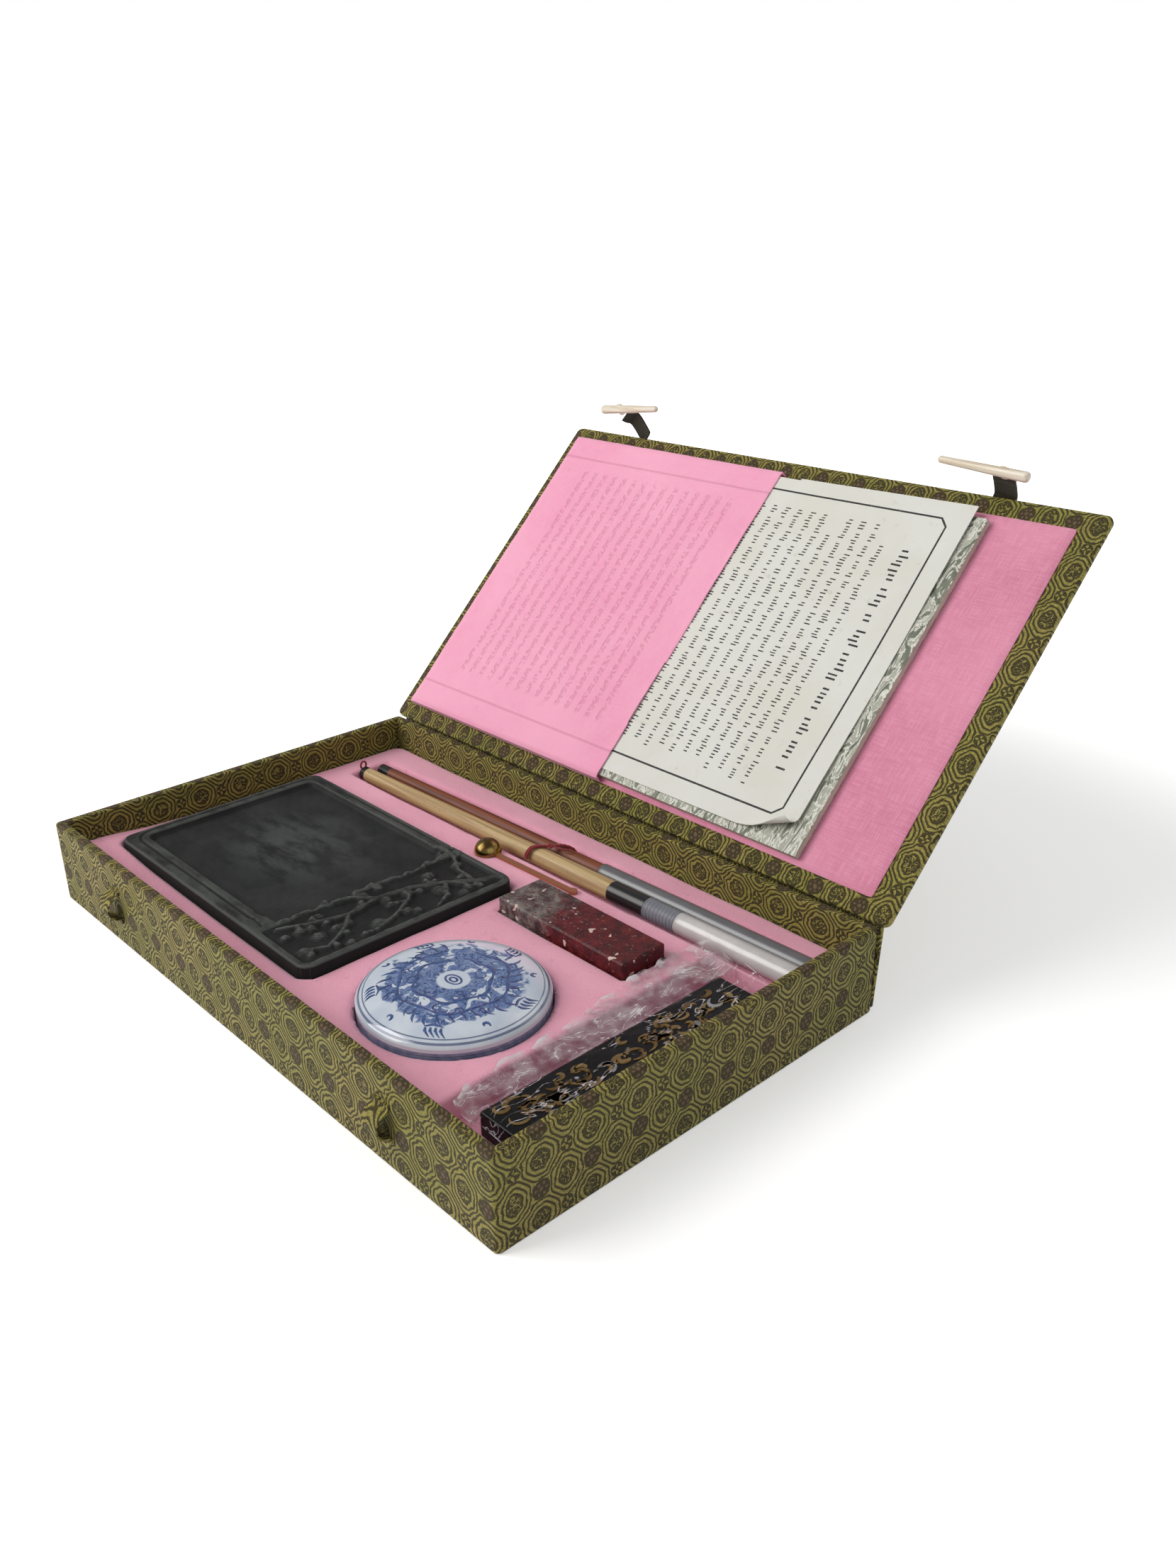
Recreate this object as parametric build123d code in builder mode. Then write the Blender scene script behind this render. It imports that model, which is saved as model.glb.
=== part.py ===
"""Calligraphy set box: a cloth-covered tray with a fitted insert, a folding lid and its writing tools.

Frame: origin at the centre of the tray's underside, X along the tray, +Y towards the hinge, +Z up.
All sizes are in millimetres. The lid stands open, leaning back on its spine flap.
"""

import os
from math import cos, radians, sin

from build123d import *

# ---------------------------------------------------------------- driving dimensions
# Tray
TRAY_LENGTH = 280.0
TRAY_DEPTH = 170.0
TRAY_HEIGHT = 34.0
CLOTH = 0.4  # thickness of the brocade and of the pink cloth
WALL_CARD = 3.2
BASE_CARD = 2.0
BASE_PAPER = 0.3  # paper glued under the tray
PAPER_INSET = 3.0  # from the tray's edge to the paper's
CORNER_ROUND = 2.0  # upright corners of the tray
RIM_ROUND = 0.9

# Fitted insert
INSERT_TOP = 21.0  # height of its pink face above the table
INSERT_GAP = 0.8  # to the tray's walls
INSERT_CORNER = 6.0
INSERT_EDGE = 2.2
POCKET_GAP = 0.6  # between a hard piece and its pocket's side
SEAT_GAP = 0.2  # under a piece that rests in its pocket

# Spine flap and lid
SPINE_THICK = 1.6
SPINE_GAP = 0.3  # to the tray's back when the box is shut
SPINE_HEAD_GAP = 2.96  # from its top edge to the lid's hinge line, when shut
SPINE_FOOT = 0.6  # height of its lower cloth hinge
SPINE_INSET = 1.0  # shorter than the tray at each end
SPINE_LEAN = 5.0  # degrees, at rest
LID_CARD = 2.2
LID_SIDE_OVERHANG = 2.4
LID_BACK_OVERHANG = 0.8
LID_FRONT_OVERHANG = 1.2
LID_CORNER = 3.0
LID_GAP = 0.4  # over the rim when shut
LID_OPEN = 135.4  # degrees from shut, at rest
LID_HINGE_IN = 1.63  # hinge line inside the lid's back edge
LID_HINGE_UP = 0.76  # hinge line above the lid's inner face, when shut

# Lid lining, pocket and papers
LINING_CARD = 0.8
LINING_LEFT = 0.4  # from the lining's ends to the tray's inner walls, when shut
LINING_RIGHT = 4.0
LINING_HINGE_SIDE = 7.5
LINING_FREE_SIDE = 8.5
POCKET_LENGTH = 131.6
POCKET_SLOPE = 5.0
PAD_THICK = 2.8
PAD_COVER = 0.2
PAD_LEFT = 5.6  # from the lining's sides to the pad
PAD_RIGHT = 33.0
PAD_FROM_HINGE = 2.0
PAD_FROM_FREE = 4.5
LEAFLET_THICK = 0.3
LEAFLET_LEFT = 7.6  # from the lining's sides to the leaflet
LEAFLET_RIGHT = 38.5
LEAFLET_FROM_HINGE = 4.5
LEAFLET_FROM_FREE = 0.7
PAPER_GAP = 0.3  # between loose papers and what they lie on
STACK_GAP = 0.2  # between the pad and the leaflet

# Tapes, pegs and the loops they button into
TAPE_FROM_END = 45.4  # from the lid's ends to the middle of a tape
TAPE_WIDTH = 9.4
TAPE_THICK = 0.8
TAPE_HINGE_OUT = 0.75  # fold line beyond the lid's edge
TAPE_FLEX = 0.3  # free cloth between the fold line and the tape's own solid
TAPE_LEFT_REACH = 14.0  # from the fold line to the middle of the peg
TAPE_LEFT_SPLAY = 11.8  # how far it leans outwards over that reach
TAPE_LEFT_FOLD = 67.3  # degrees from the lid's plane towards its inner side
TAPE_RIGHT_REACH = 12.8
TAPE_RIGHT_SPLAY = 2.3
TAPE_RIGHT_FOLD = 77.0
PEG_LENGTH = 38.8
PEG_HEAD_R = 2.15
PEG_TIP_R = 1.45
PEG_FLEX = 2.0  # from a tape's shoulders to its peg
PEG_COLLAR_R = 2.9  # of the wrapped band on which a peg turns
PEG_GAP = 0.3  # from that band to the tape's tip
TAPE_TIP_WIDTH = 2.0
PEG_LEFT_HEAD = 13.0  # from the tape's middle to the blunt end
PEG_LEFT_TILT = 6.7
PEG_RIGHT_HEAD = 10.4
PEG_RIGHT_TILT = -4.1
LOOP_FROM_END = 51.6  # from the tray's ends to the middle of a loop
LOOP_WIDTH = 8.0
LOOP_HEIGHT = 8.6
LOOP_OPENING = 4.9  # depth of the tunnel
LOOP_CLOTH = 0.6
LOOP_Z = 17.2
LOOP_FOOT = 2.2

# Inkstone
STONE_THICK = 16.0
STONE_PROUD = 4.2  # of the insert's face
STONE_FROM_LEFT = 9.5  # from the tray's inner walls
STONE_FROM_FRONT = 16.05
STONE_FROM_BACK = 52.45
STONE_TO_SEAL = 8.5
STONE_CORNER = 5.0
STONE_EDGE = 1.2
WELL_DEPTH = 2.2
WELL_FROM_LEFT = 5.5  # from the stone's sides
WELL_FROM_RIGHT = 33.5
WELL_FROM_FRONT = 8.5
WELL_FROM_BACK = 5.5
WELL_CORNER = 4.0

# Seal stone
SEAL_LENGTH = 66.0
SEAL_SIDE = 20.5
SEAL_PROUD = 5.6
SEAL_TO_STICK = 10.2  # from its end to the ink stick's slot
SEAL_FROM_BACK = 47.05  # from the tray's inner wall
SEAL_EDGE = 0.6

# Porcelain paste box
PASTE_BOX_R = 32.5
PASTE_TO_STICK = 7.7  # from its side to the ink stick's slot
PASTE_FORWARD = 1.2  # of the middle between the seal and the front wall
PASTE_BOX_FLOOR = 3.9  # height of its foot above the table
PASTE_BASE_HEIGHT = 17.4
PASTE_LID_HEIGHT = 7.2
PASTE_WALL = 2.6
PASTE_FOOT_R = 22.0
PASTE_FOOT_HEIGHT = 1.6
PASTE_SHOULDER = 7.5  # height at which the base reaches its full width
PASTE_LIP = 1.8
PASTE_SEAM = 0.2
PASTE_FIT = 0.35
PASTE_FILL_GAP = 0.1
PASTE_HEAP = 1.2  # the paste's middle above its rim
PASTE_RIM_GAP = 0.4
PASTE_CROWN = 0.6  # solid rim of the lid above the base's lip
PASTE_VAULT_DROP = 0.75  # of the lid's hollow, over 0.6 of its radius
PASTE_VAULT_AT = 0.6
PASTE_VAULT_IN = 1.0
PASTE_VAULT_EDGE = 0.3

# Ink stick and its clear sleeve
STICK_END_ROOM = 8.5  # left in the slot at each end
STICK_WIDTH = 22.0
STICK_THICK = 9.0
STICK_ASIDE = 4.3  # to the right of the slot's middle
STICK_EDGE = 1.0
SLEEVE_FILM = 0.3
SLEEVE_EASE = 0.3
SLEEVE_FRONT = 2.5  # sleeve left over beyond the stick's ends
SLEEVE_BACK = 6.0
SLEEVE_GAP = 1.0  # from its flat side wings to the slot's walls
SLEEVE_TOP = 22.1
STICK_SLOT_WIDTH = 36.0
STICK_SLOT_FROM_FRONT = 6.5  # from the tray's inner walls
STICK_SLOT_FROM_BACK = 34.5
STICK_SLOT_WALL = 1.0  # pink wall left beside the slot
STICK_SLOT_CORNER = 3.0

# Brush slot: a long pocket that widens a little to the right
SLOT_FROM_LEFT = 13.8  # from the tray's inner walls
SLOT_FROM_RIGHT = 4.8
SLOT_FRONT_AT_LEFT = 36.0
SLOT_FRONT_AT_RIGHT = 32.8
SLOT_BACK_AT_LEFT = 16.3
SLOT_BACK_AT_RIGHT = 11.2
SLOT_FLOOR = 16.0

# Brush A, in front: bamboo handle, black ferrule, white hair, clear cap
A_TAIL_FROM_LEFT = 15.2  # from the tray's inner walls
A_TAIL_FROM_BACK = 30.4
A_TAIL_Z = 20.1
A_TIP_FROM_RIGHT = 5.8
A_TIP_FROM_BACK = 25.0
A_TIP_Z = 21.0
A_TAIL_CAP = 3.5
A_CAP_LENGTH = 70.8
A_FERRULE = 36.0
A_FERRULE_SHOWN = 18.2  # the rest is inside the clear cap
A_HAIR = 42.0
A_TAIL_R = 3.2
A_HEAD_R = 4.0
A_CAP_R = 4.15

# Brush B, behind it: red-brown handle, the same parts, slimmer
B_TAIL_FROM_LEFT = 17.4
B_TAIL_FROM_BACK = 22.2
B_TAIL_Z = 19.9
B_TIP_FROM_RIGHT = 6.0
B_TIP_FROM_BACK = 16.4
B_TIP_Z = 20.5
B_TAIL_CAP = 7.5
B_CAP_LENGTH = 103.2
B_FERRULE = 18.0
B_FERRULE_SHOWN = 0.0
B_HAIR = 40.0
B_TAIL_R = 2.8
B_HEAD_R = 3.25
B_CAP_R = 3.8

CAP_WALL = 0.45
CAP_FIT = 0.1  # between a cap and the ferrule inside it
HAIR_FIT = 0.25  # between the hair and its cap
HANG_LOOP_R = 1.5
HANG_CORD_R = 0.35
HANG_LOOP_SUNK = 1.0  # of the loop's foot below the tail's top
TURNED_EDGE = 0.4
COLLAR_STEP = 0.05  # of the ferrule's collar inside the cap's outside
HAIR_ROOT = 0.88  # the hair's girth at its root and past its belly, as shares of the widest
HAIR_TAPER = 0.55
HAIR_BELLY = 0.28  # where it is widest and where it tapers, as shares of its length
HAIR_NARROWS = 0.72

# Red thread tied slantwise round both brushes
TIE_FRONT_X = -3.0
TIE_BACK_X = 6.5
TIE_WIDTH = 2.0
TIE_THICK = 0.5
TIE_CLEAR = 0.2

# Water spoon, lying face down
SPOON_X = -17.5
SPOON_FROM_BACK = 40.8  # from the tray's inner wall to the bowl's middle
SPOON_R = 5.7
SPOON_WALL = 0.7
SPOON_TIP_X = 32.0
SPOON_TIP_FROM_BACK = 39.4
SPOON_HANDLE_WIDTH = 2.4
SPOON_HANDLE_THICK = 0.9
SPOON_END_R = 1.8
SPOON_END_THICK = 1.3

# ---------------------------------------------------------------- values worked out from them
WALL = WALL_CARD + 2 * CLOTH
CARD_FOOT = BASE_PAPER + CLOTH
FLOOR_TOP = CARD_FOOT + BASE_CARD
INNER_LENGTH = TRAY_LENGTH - 2 * WALL
INNER_DEPTH = TRAY_DEPTH - 2 * WALL
CARD_HEIGHT = TRAY_HEIGHT - CARD_FOOT - CLOTH
CARD_LENGTH = TRAY_LENGTH - 2 * CLOTH
CARD_DEPTH = TRAY_DEPTH - 2 * CLOTH
CARD_CORNER = CORNER_ROUND - CLOTH
LID_THICK = LID_CARD + 2 * CLOTH
LID_WIDTH = TRAY_LENGTH + 2 * LID_SIDE_OVERHANG
LID_HALF = LID_WIDTH / 2
LID_LENGTH = TRAY_DEPTH + LID_BACK_OVERHANG + LID_FRONT_OVERHANG
SPINE_HEIGHT = TRAY_HEIGHT + LID_GAP + LID_HINGE_UP - SPINE_FOOT - SPINE_HEAD_GAP
INNER_X = INNER_LENGTH / 2
INNER_Y = INNER_DEPTH / 2
TAPE_X = LID_HALF - TAPE_FROM_END
LOOP_X = TRAY_LENGTH / 2 - LOOP_FROM_END

STICK_SLOT_X = INNER_X - INSERT_GAP - STICK_SLOT_WALL - STICK_SLOT_WIDTH / 2
STICK_SLOT_LENGTH = INNER_DEPTH - STICK_SLOT_FROM_FRONT - STICK_SLOT_FROM_BACK
STICK_X = STICK_SLOT_X + STICK_ASIDE
STICK_Y = (STICK_SLOT_FROM_FRONT - STICK_SLOT_FROM_BACK) / 2
STICK_LENGTH = STICK_SLOT_LENGTH - 2 * STICK_END_ROOM
STICK_SLOT_LEFT = STICK_SLOT_X - STICK_SLOT_WIDTH / 2
SEAL_X = STICK_SLOT_LEFT - SEAL_TO_STICK - SEAL_LENGTH / 2
SEAL_Y = INNER_Y - SEAL_FROM_BACK - SEAL_SIDE / 2
PASTE_BOX_X = STICK_SLOT_LEFT - PASTE_TO_STICK - PASTE_BOX_R
PASTE_BOX_Y = (SEAL_Y - SEAL_SIDE / 2 - INNER_Y) / 2 - PASTE_FORWARD
STONE_RIGHT = SEAL_X - SEAL_LENGTH / 2 - STONE_TO_SEAL
STONE_LENGTH = STONE_RIGHT - STONE_FROM_LEFT + INNER_X
STONE_WIDTH = INNER_DEPTH - STONE_FROM_FRONT - STONE_FROM_BACK
STONE_X = STONE_RIGHT - STONE_LENGTH / 2
STONE_Y = (STONE_FROM_FRONT - STONE_FROM_BACK) / 2
WELL_LENGTH = STONE_LENGTH - WELL_FROM_LEFT - WELL_FROM_RIGHT
WELL_WIDTH = STONE_WIDTH - WELL_FROM_FRONT - WELL_FROM_BACK
SPOON_Y = INNER_Y - SPOON_FROM_BACK
SPOON_TIP_Y = INNER_Y - SPOON_TIP_FROM_BACK
A_TAIL = (A_TAIL_FROM_LEFT - INNER_X, INNER_Y - A_TAIL_FROM_BACK, A_TAIL_Z)
A_TIP = (INNER_X - A_TIP_FROM_RIGHT, INNER_Y - A_TIP_FROM_BACK, A_TIP_Z)
B_TAIL = (B_TAIL_FROM_LEFT - INNER_X, INNER_Y - B_TAIL_FROM_BACK, B_TAIL_Z)
B_TIP = (INNER_X - B_TIP_FROM_RIGHT, INNER_Y - B_TIP_FROM_BACK, B_TIP_Z)


def turned_back(point, pivot, angle):
    """Turn a (y, z) point about a pivot, in the sense in which the lid opens."""
    y, z = point[0] - pivot[0], point[1] - pivot[1]
    c, s = cos(radians(angle)), sin(radians(angle))
    return pivot[0] + y * c + z * s, pivot[1] - y * s + z * c


# The spine turns about its foot, and the lid about a line that the spine carries.
SPINE_PIVOT = (TRAY_DEPTH / 2 + SPINE_GAP + SPINE_THICK / 2, SPINE_FOOT)
LID_EDGE_SHUT = (TRAY_DEPTH / 2 + LID_BACK_OVERHANG, TRAY_HEIGHT + LID_GAP)
LID_PIVOT_SHUT = (LID_EDGE_SHUT[0] - LID_HINGE_IN, LID_EDGE_SHUT[1] + LID_HINGE_UP)
LID_PIVOT = turned_back(LID_PIVOT_SHUT, SPINE_PIVOT, SPINE_LEAN)
LID_EDGE_CARRIED = turned_back(LID_EDGE_SHUT, SPINE_PIVOT, SPINE_LEAN)
LID_EDGE = turned_back(LID_EDGE_CARRIED, LID_PIVOT, LID_OPEN - SPINE_LEAN)

HALF_TURN = 180.0
RISE = HALF_TURN - LID_OPEN
# Local X runs along the box, local Y away from the hinge and local Z out of the inner face.
lid_face = Plane(
    origin=(0, LID_EDGE[0], LID_EDGE[1]),
    x_dir=(1, 0, 0),
    z_dir=(0, -sin(radians(RISE)), cos(radians(RISE))),
)
spine_face = Plane(
    origin=(0, SPINE_PIVOT[0], SPINE_PIVOT[1]),
    x_dir=(1, 0, 0),
    z_dir=(0, -cos(radians(SPINE_LEAN)), sin(radians(SPINE_LEAN))),
)
pieces = {}

# ---------------------------------------------------------------- tray
with BuildPart() as base_paper:
    with BuildSketch():
        Rectangle(TRAY_LENGTH - 2 * PAPER_INSET, TRAY_DEPTH - 2 * PAPER_INSET)
    extrude(amount=BASE_PAPER)
pieces["base_paper"] = base_paper

with BuildPart() as base_board:
    with BuildSketch(Plane.XY.offset(CARD_FOOT)):
        Rectangle(CARD_LENGTH - 2 * WALL_CARD, CARD_DEPTH - 2 * WALL_CARD)
    extrude(amount=BASE_CARD)
pieces["base_board"] = base_board

for name, side in (("front_wall", -1), ("back_wall", 1)):
    with BuildPart() as long_wall:
        with BuildSketch(Plane.XY.offset(CARD_FOOT)):
            RectangleRounded(CARD_LENGTH, CARD_DEPTH, CARD_CORNER)
            with Locations((0, -side * WALL_CARD)):
                Rectangle(CARD_LENGTH, CARD_DEPTH, mode=Mode.SUBTRACT)
        extrude(amount=CARD_HEIGHT)
    pieces[name] = long_wall

for name, side in (("left_wall", -1), ("right_wall", 1)):
    with BuildPart() as short_wall:
        with BuildSketch(Plane.XY.offset(CARD_FOOT)):
            with Locations((side * (CARD_LENGTH - WALL_CARD) / 2, 0)):
                Rectangle(WALL_CARD, CARD_DEPTH - 2 * WALL_CARD)
        extrude(amount=CARD_HEIGHT)
    pieces[name] = short_wall

with BuildPart() as tray_brocade:
    with BuildSketch(Plane.XY.offset(BASE_PAPER)):
        RectangleRounded(TRAY_LENGTH, TRAY_DEPTH, CORNER_ROUND)
    extrude(amount=TRAY_HEIGHT - BASE_PAPER)
    with BuildSketch(Plane.XY.offset(FLOOR_TOP)):
        Rectangle(INNER_LENGTH, INNER_DEPTH)
    extrude(amount=TRAY_HEIGHT, mode=Mode.SUBTRACT)
    fillet(tray_brocade.edges().group_by(Axis.Z)[-1], RIM_ROUND)
    with BuildSketch(Plane.XY.offset(CARD_FOOT)):
        RectangleRounded(CARD_LENGTH, CARD_DEPTH, CARD_CORNER)
        Rectangle(CARD_LENGTH - 2 * WALL_CARD, CARD_DEPTH - 2 * WALL_CARD, mode=Mode.SUBTRACT)
    extrude(amount=CARD_HEIGHT, mode=Mode.SUBTRACT)
    with BuildSketch(Plane.XY.offset(CARD_FOOT)):
        Rectangle(CARD_LENGTH - 2 * WALL_CARD, CARD_DEPTH - 2 * WALL_CARD)
    extrude(amount=BASE_CARD, mode=Mode.SUBTRACT)
pieces["tray_brocade"] = tray_brocade

for name, side in (("peg_loop_left", -1), ("peg_loop_right", 1)):
    loop_plane = Plane.YZ.offset(side * LOOP_X - LOOP_WIDTH / 2)
    wall_y = -TRAY_DEPTH / 2
    with BuildPart() as peg_loop:
        with BuildSketch(loop_plane):
            with BuildLine():
                outer = ThreePointArc(
                    (wall_y, LOOP_Z - LOOP_HEIGHT / 2 - LOOP_CLOTH),
                    (wall_y - LOOP_OPENING - LOOP_CLOTH, LOOP_Z),
                    (wall_y, LOOP_Z + LOOP_HEIGHT / 2 + LOOP_CLOTH),
                )
                Line(outer @ 1, outer @ 0)
            make_face()
            with BuildLine():
                inner = ThreePointArc(
                    (wall_y, LOOP_Z - LOOP_HEIGHT / 2),
                    (wall_y - LOOP_OPENING, LOOP_Z),
                    (wall_y, LOOP_Z + LOOP_HEIGHT / 2),
                )
                Line(inner @ 1, inner @ 0)
            make_face(mode=Mode.SUBTRACT)
            for end in (-1, 1):
                foot_middle = LOOP_HEIGHT / 2 + LOOP_CLOTH + LOOP_FOOT / 2 - LOOP_CLOTH / 2
                with Locations((wall_y - LOOP_CLOTH / 4, LOOP_Z + end * foot_middle)):
                    Rectangle(LOOP_CLOTH / 2, LOOP_FOOT)
        extrude(amount=LOOP_WIDTH)
    pieces[name] = peg_loop

# ---------------------------------------------------------------- fitted insert
STONE_FLOOR = INSERT_TOP + STONE_PROUD - STONE_THICK
SEAL_FLOOR = INSERT_TOP + SEAL_PROUD - SEAL_SIDE
SLEEVE_HEIGHT = STICK_THICK + 2 * (SLEEVE_FILM + SLEEVE_EASE)
SLEEVE_FLOOR = SLEEVE_TOP - SLEEVE_HEIGHT

with BuildPart() as insert:
    with BuildSketch(Plane.XY.offset(FLOOR_TOP)):
        RectangleRounded(INNER_LENGTH - 2 * INSERT_GAP, INNER_DEPTH - 2 * INSERT_GAP, INSERT_CORNER)
    extrude(amount=INSERT_TOP - FLOOR_TOP)
    fillet(insert.faces().sort_by(Axis.Z)[-1].edges(), INSERT_EDGE)
    with BuildSketch(Plane.XY.offset(STONE_FLOOR - SEAT_GAP)):
        with Locations((STONE_X, STONE_Y)):
            RectangleRounded(
                STONE_LENGTH + 2 * POCKET_GAP, STONE_WIDTH + 2 * POCKET_GAP, STONE_CORNER
            )
    extrude(amount=TRAY_HEIGHT, mode=Mode.SUBTRACT)
    with BuildSketch(Plane.XY.offset(SEAL_FLOOR - SEAT_GAP)):
        with Locations((SEAL_X, SEAL_Y)):
            Rectangle(SEAL_LENGTH + 2 * POCKET_GAP, SEAL_SIDE + 2 * POCKET_GAP)
    extrude(amount=TRAY_HEIGHT, mode=Mode.SUBTRACT)
    with BuildSketch(Plane.XY.offset(PASTE_BOX_FLOOR - SEAT_GAP)):
        with Locations((PASTE_BOX_X, PASTE_BOX_Y)):
            Circle(PASTE_BOX_R + POCKET_GAP)
    extrude(amount=TRAY_HEIGHT, mode=Mode.SUBTRACT)
    with BuildSketch(Plane.XY.offset(SLEEVE_FLOOR - SEAT_GAP)):
        with Locations((STICK_SLOT_X, STICK_Y)):
            RectangleRounded(STICK_SLOT_WIDTH, STICK_SLOT_LENGTH, STICK_SLOT_CORNER)
    extrude(amount=TRAY_HEIGHT, mode=Mode.SUBTRACT)
    with BuildSketch(Plane.XY.offset(SLOT_FLOOR)):
        with BuildLine():
            Polyline(
                (SLOT_FROM_LEFT - INNER_X, INNER_Y - SLOT_FRONT_AT_LEFT),
                (INNER_X - SLOT_FROM_RIGHT, INNER_Y - SLOT_FRONT_AT_RIGHT),
                (INNER_X - SLOT_FROM_RIGHT, INNER_Y - SLOT_BACK_AT_RIGHT),
                (SLOT_FROM_LEFT - INNER_X, INNER_Y - SLOT_BACK_AT_LEFT),
                close=True,
            )
        make_face()
    extrude(amount=TRAY_HEIGHT, mode=Mode.SUBTRACT)
pieces["insert"] = insert

# ---------------------------------------------------------------- inkstone
with BuildPart() as inkstone:
    with BuildSketch(Plane.XY.offset(STONE_FLOOR)):
        with Locations((STONE_X, STONE_Y)):
            RectangleRounded(STONE_LENGTH, STONE_WIDTH, STONE_CORNER)
    extrude(amount=STONE_THICK)
    fillet(inkstone.faces().sort_by(Axis.Z)[-1].edges(), STONE_EDGE)
    with BuildSketch(Plane.XY.offset(STONE_FLOOR + STONE_THICK)):
        with Locations(
            (
                STONE_X - STONE_LENGTH / 2 + WELL_FROM_LEFT + WELL_LENGTH / 2,
                STONE_Y - STONE_WIDTH / 2 + WELL_FROM_FRONT + WELL_WIDTH / 2,
            )
        ):
            RectangleRounded(WELL_LENGTH, WELL_WIDTH, WELL_CORNER)
    extrude(amount=-WELL_DEPTH, mode=Mode.SUBTRACT)
pieces["inkstone"] = inkstone

# ---------------------------------------------------------------- seal stone
with BuildPart() as seal_stone:
    with Locations((SEAL_X, SEAL_Y, SEAL_FLOOR + SEAL_SIDE / 2)):
        Box(SEAL_LENGTH, SEAL_SIDE, SEAL_SIDE)
    chamfer(seal_stone.edges(), SEAL_EDGE)
pieces["seal_stone"] = seal_stone

# ---------------------------------------------------------------- porcelain paste box
paste_axis = Plane(origin=(PASTE_BOX_X, PASTE_BOX_Y, PASTE_BOX_FLOOR), x_dir=(1, 0, 0), z_dir=(0, -1, 0))
paste_turn = Axis((PASTE_BOX_X, PASTE_BOX_Y, 0), (0, 0, 1))
PASTE_INNER_R = PASTE_BOX_R - PASTE_WALL
PASTE_DISH_FLOOR = PASTE_FOOT_HEIGHT + PASTE_WALL
PASTE_LID_FOOT = PASTE_BASE_HEIGHT + PASTE_SEAM
PASTE_BAND = PASTE_LIP + PASTE_CROWN  # straight part of the lid's side

with BuildPart() as paste_box_base:
    with BuildSketch(paste_axis):
        with BuildLine():
            Polyline(
                (0, PASTE_FOOT_HEIGHT),
                (PASTE_FOOT_R - PASTE_WALL, PASTE_FOOT_HEIGHT),
                (PASTE_FOOT_R - PASTE_WALL, 0),
                (PASTE_FOOT_R, 0),
                (PASTE_FOOT_R, PASTE_FOOT_HEIGHT),
            )
            TangentArc(
                (PASTE_FOOT_R, PASTE_FOOT_HEIGHT),
                (PASTE_BOX_R, PASTE_SHOULDER),
                tangent=(1, 0),
            )
            Polyline(
                (PASTE_BOX_R, PASTE_SHOULDER),
                (PASTE_BOX_R, PASTE_BASE_HEIGHT),
                (PASTE_INNER_R + PASTE_WALL / 2, PASTE_BASE_HEIGHT),
                (PASTE_INNER_R + PASTE_WALL / 2, PASTE_BASE_HEIGHT + PASTE_LIP),
                (PASTE_INNER_R, PASTE_BASE_HEIGHT + PASTE_LIP),
                (PASTE_INNER_R, PASTE_SHOULDER + PASTE_WALL),
                (PASTE_FOOT_R, PASTE_DISH_FLOOR),
                (0, PASTE_DISH_FLOOR),
                (0, PASTE_FOOT_HEIGHT),
            )
        make_face()
    revolve(axis=paste_turn)
pieces["paste_box_base"] = paste_box_base

with BuildPart() as paste_box_lid:
    with BuildSketch(paste_axis):
        dome_foot = PASTE_LID_FOOT + PASTE_BAND
        dome_top = PASTE_LID_FOOT + PASTE_LID_HEIGHT
        with BuildLine():
            Line((PASTE_BOX_R, PASTE_LID_FOOT), (PASTE_BOX_R, dome_foot))
            Spline(
                (PASTE_BOX_R, dome_foot),
                (0, dome_top),
                tangents=((-0.55, 1), (-1, 0)),
                tangent_scalars=(0.55, 1.0),
            )
            Line((0, dome_top), (0, dome_top - PASTE_WALL))
            ThreePointArc(
                (0, dome_top - PASTE_WALL),
                (PASTE_INNER_R * PASTE_VAULT_AT, dome_top - PASTE_WALL - PASTE_VAULT_DROP),
                (PASTE_INNER_R - PASTE_VAULT_IN, dome_foot - PASTE_VAULT_EDGE),
            )
            Polyline(
                (PASTE_INNER_R - PASTE_VAULT_IN, dome_foot - PASTE_VAULT_EDGE),
                (PASTE_INNER_R + PASTE_WALL / 2 + PASTE_FIT, dome_foot - PASTE_VAULT_EDGE),
                (PASTE_INNER_R + PASTE_WALL / 2 + PASTE_FIT, PASTE_LID_FOOT),
                (PASTE_BOX_R, PASTE_LID_FOOT),
            )
        make_face()
    revolve(axis=paste_turn)
pieces["paste_box_lid"] = paste_box_lid

with BuildPart() as seal_paste:
    paste_foot = PASTE_DISH_FLOOR + PASTE_FILL_GAP
    paste_top = PASTE_SHOULDER + PASTE_WALL
    with BuildSketch(paste_axis):
        with BuildLine():
            Polyline(
                (0, paste_foot),
                (PASTE_FOOT_R - PASTE_FILL_GAP, paste_foot),
                (PASTE_INNER_R - PASTE_RIM_GAP, paste_top),
                (0, paste_top + PASTE_HEAP),
                close=True,
            )
        make_face()
    revolve(axis=paste_turn)
pieces["seal_paste"] = seal_paste

# ---------------------------------------------------------------- ink stick
with BuildPart() as ink_stick:
    with Locations((STICK_X, STICK_Y, SLEEVE_FLOOR + SLEEVE_HEIGHT / 2)):
        Box(STICK_WIDTH, STICK_LENGTH, STICK_THICK)
    fillet(ink_stick.edges(), STICK_EDGE)
pieces["ink_stick"] = ink_stick

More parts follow.
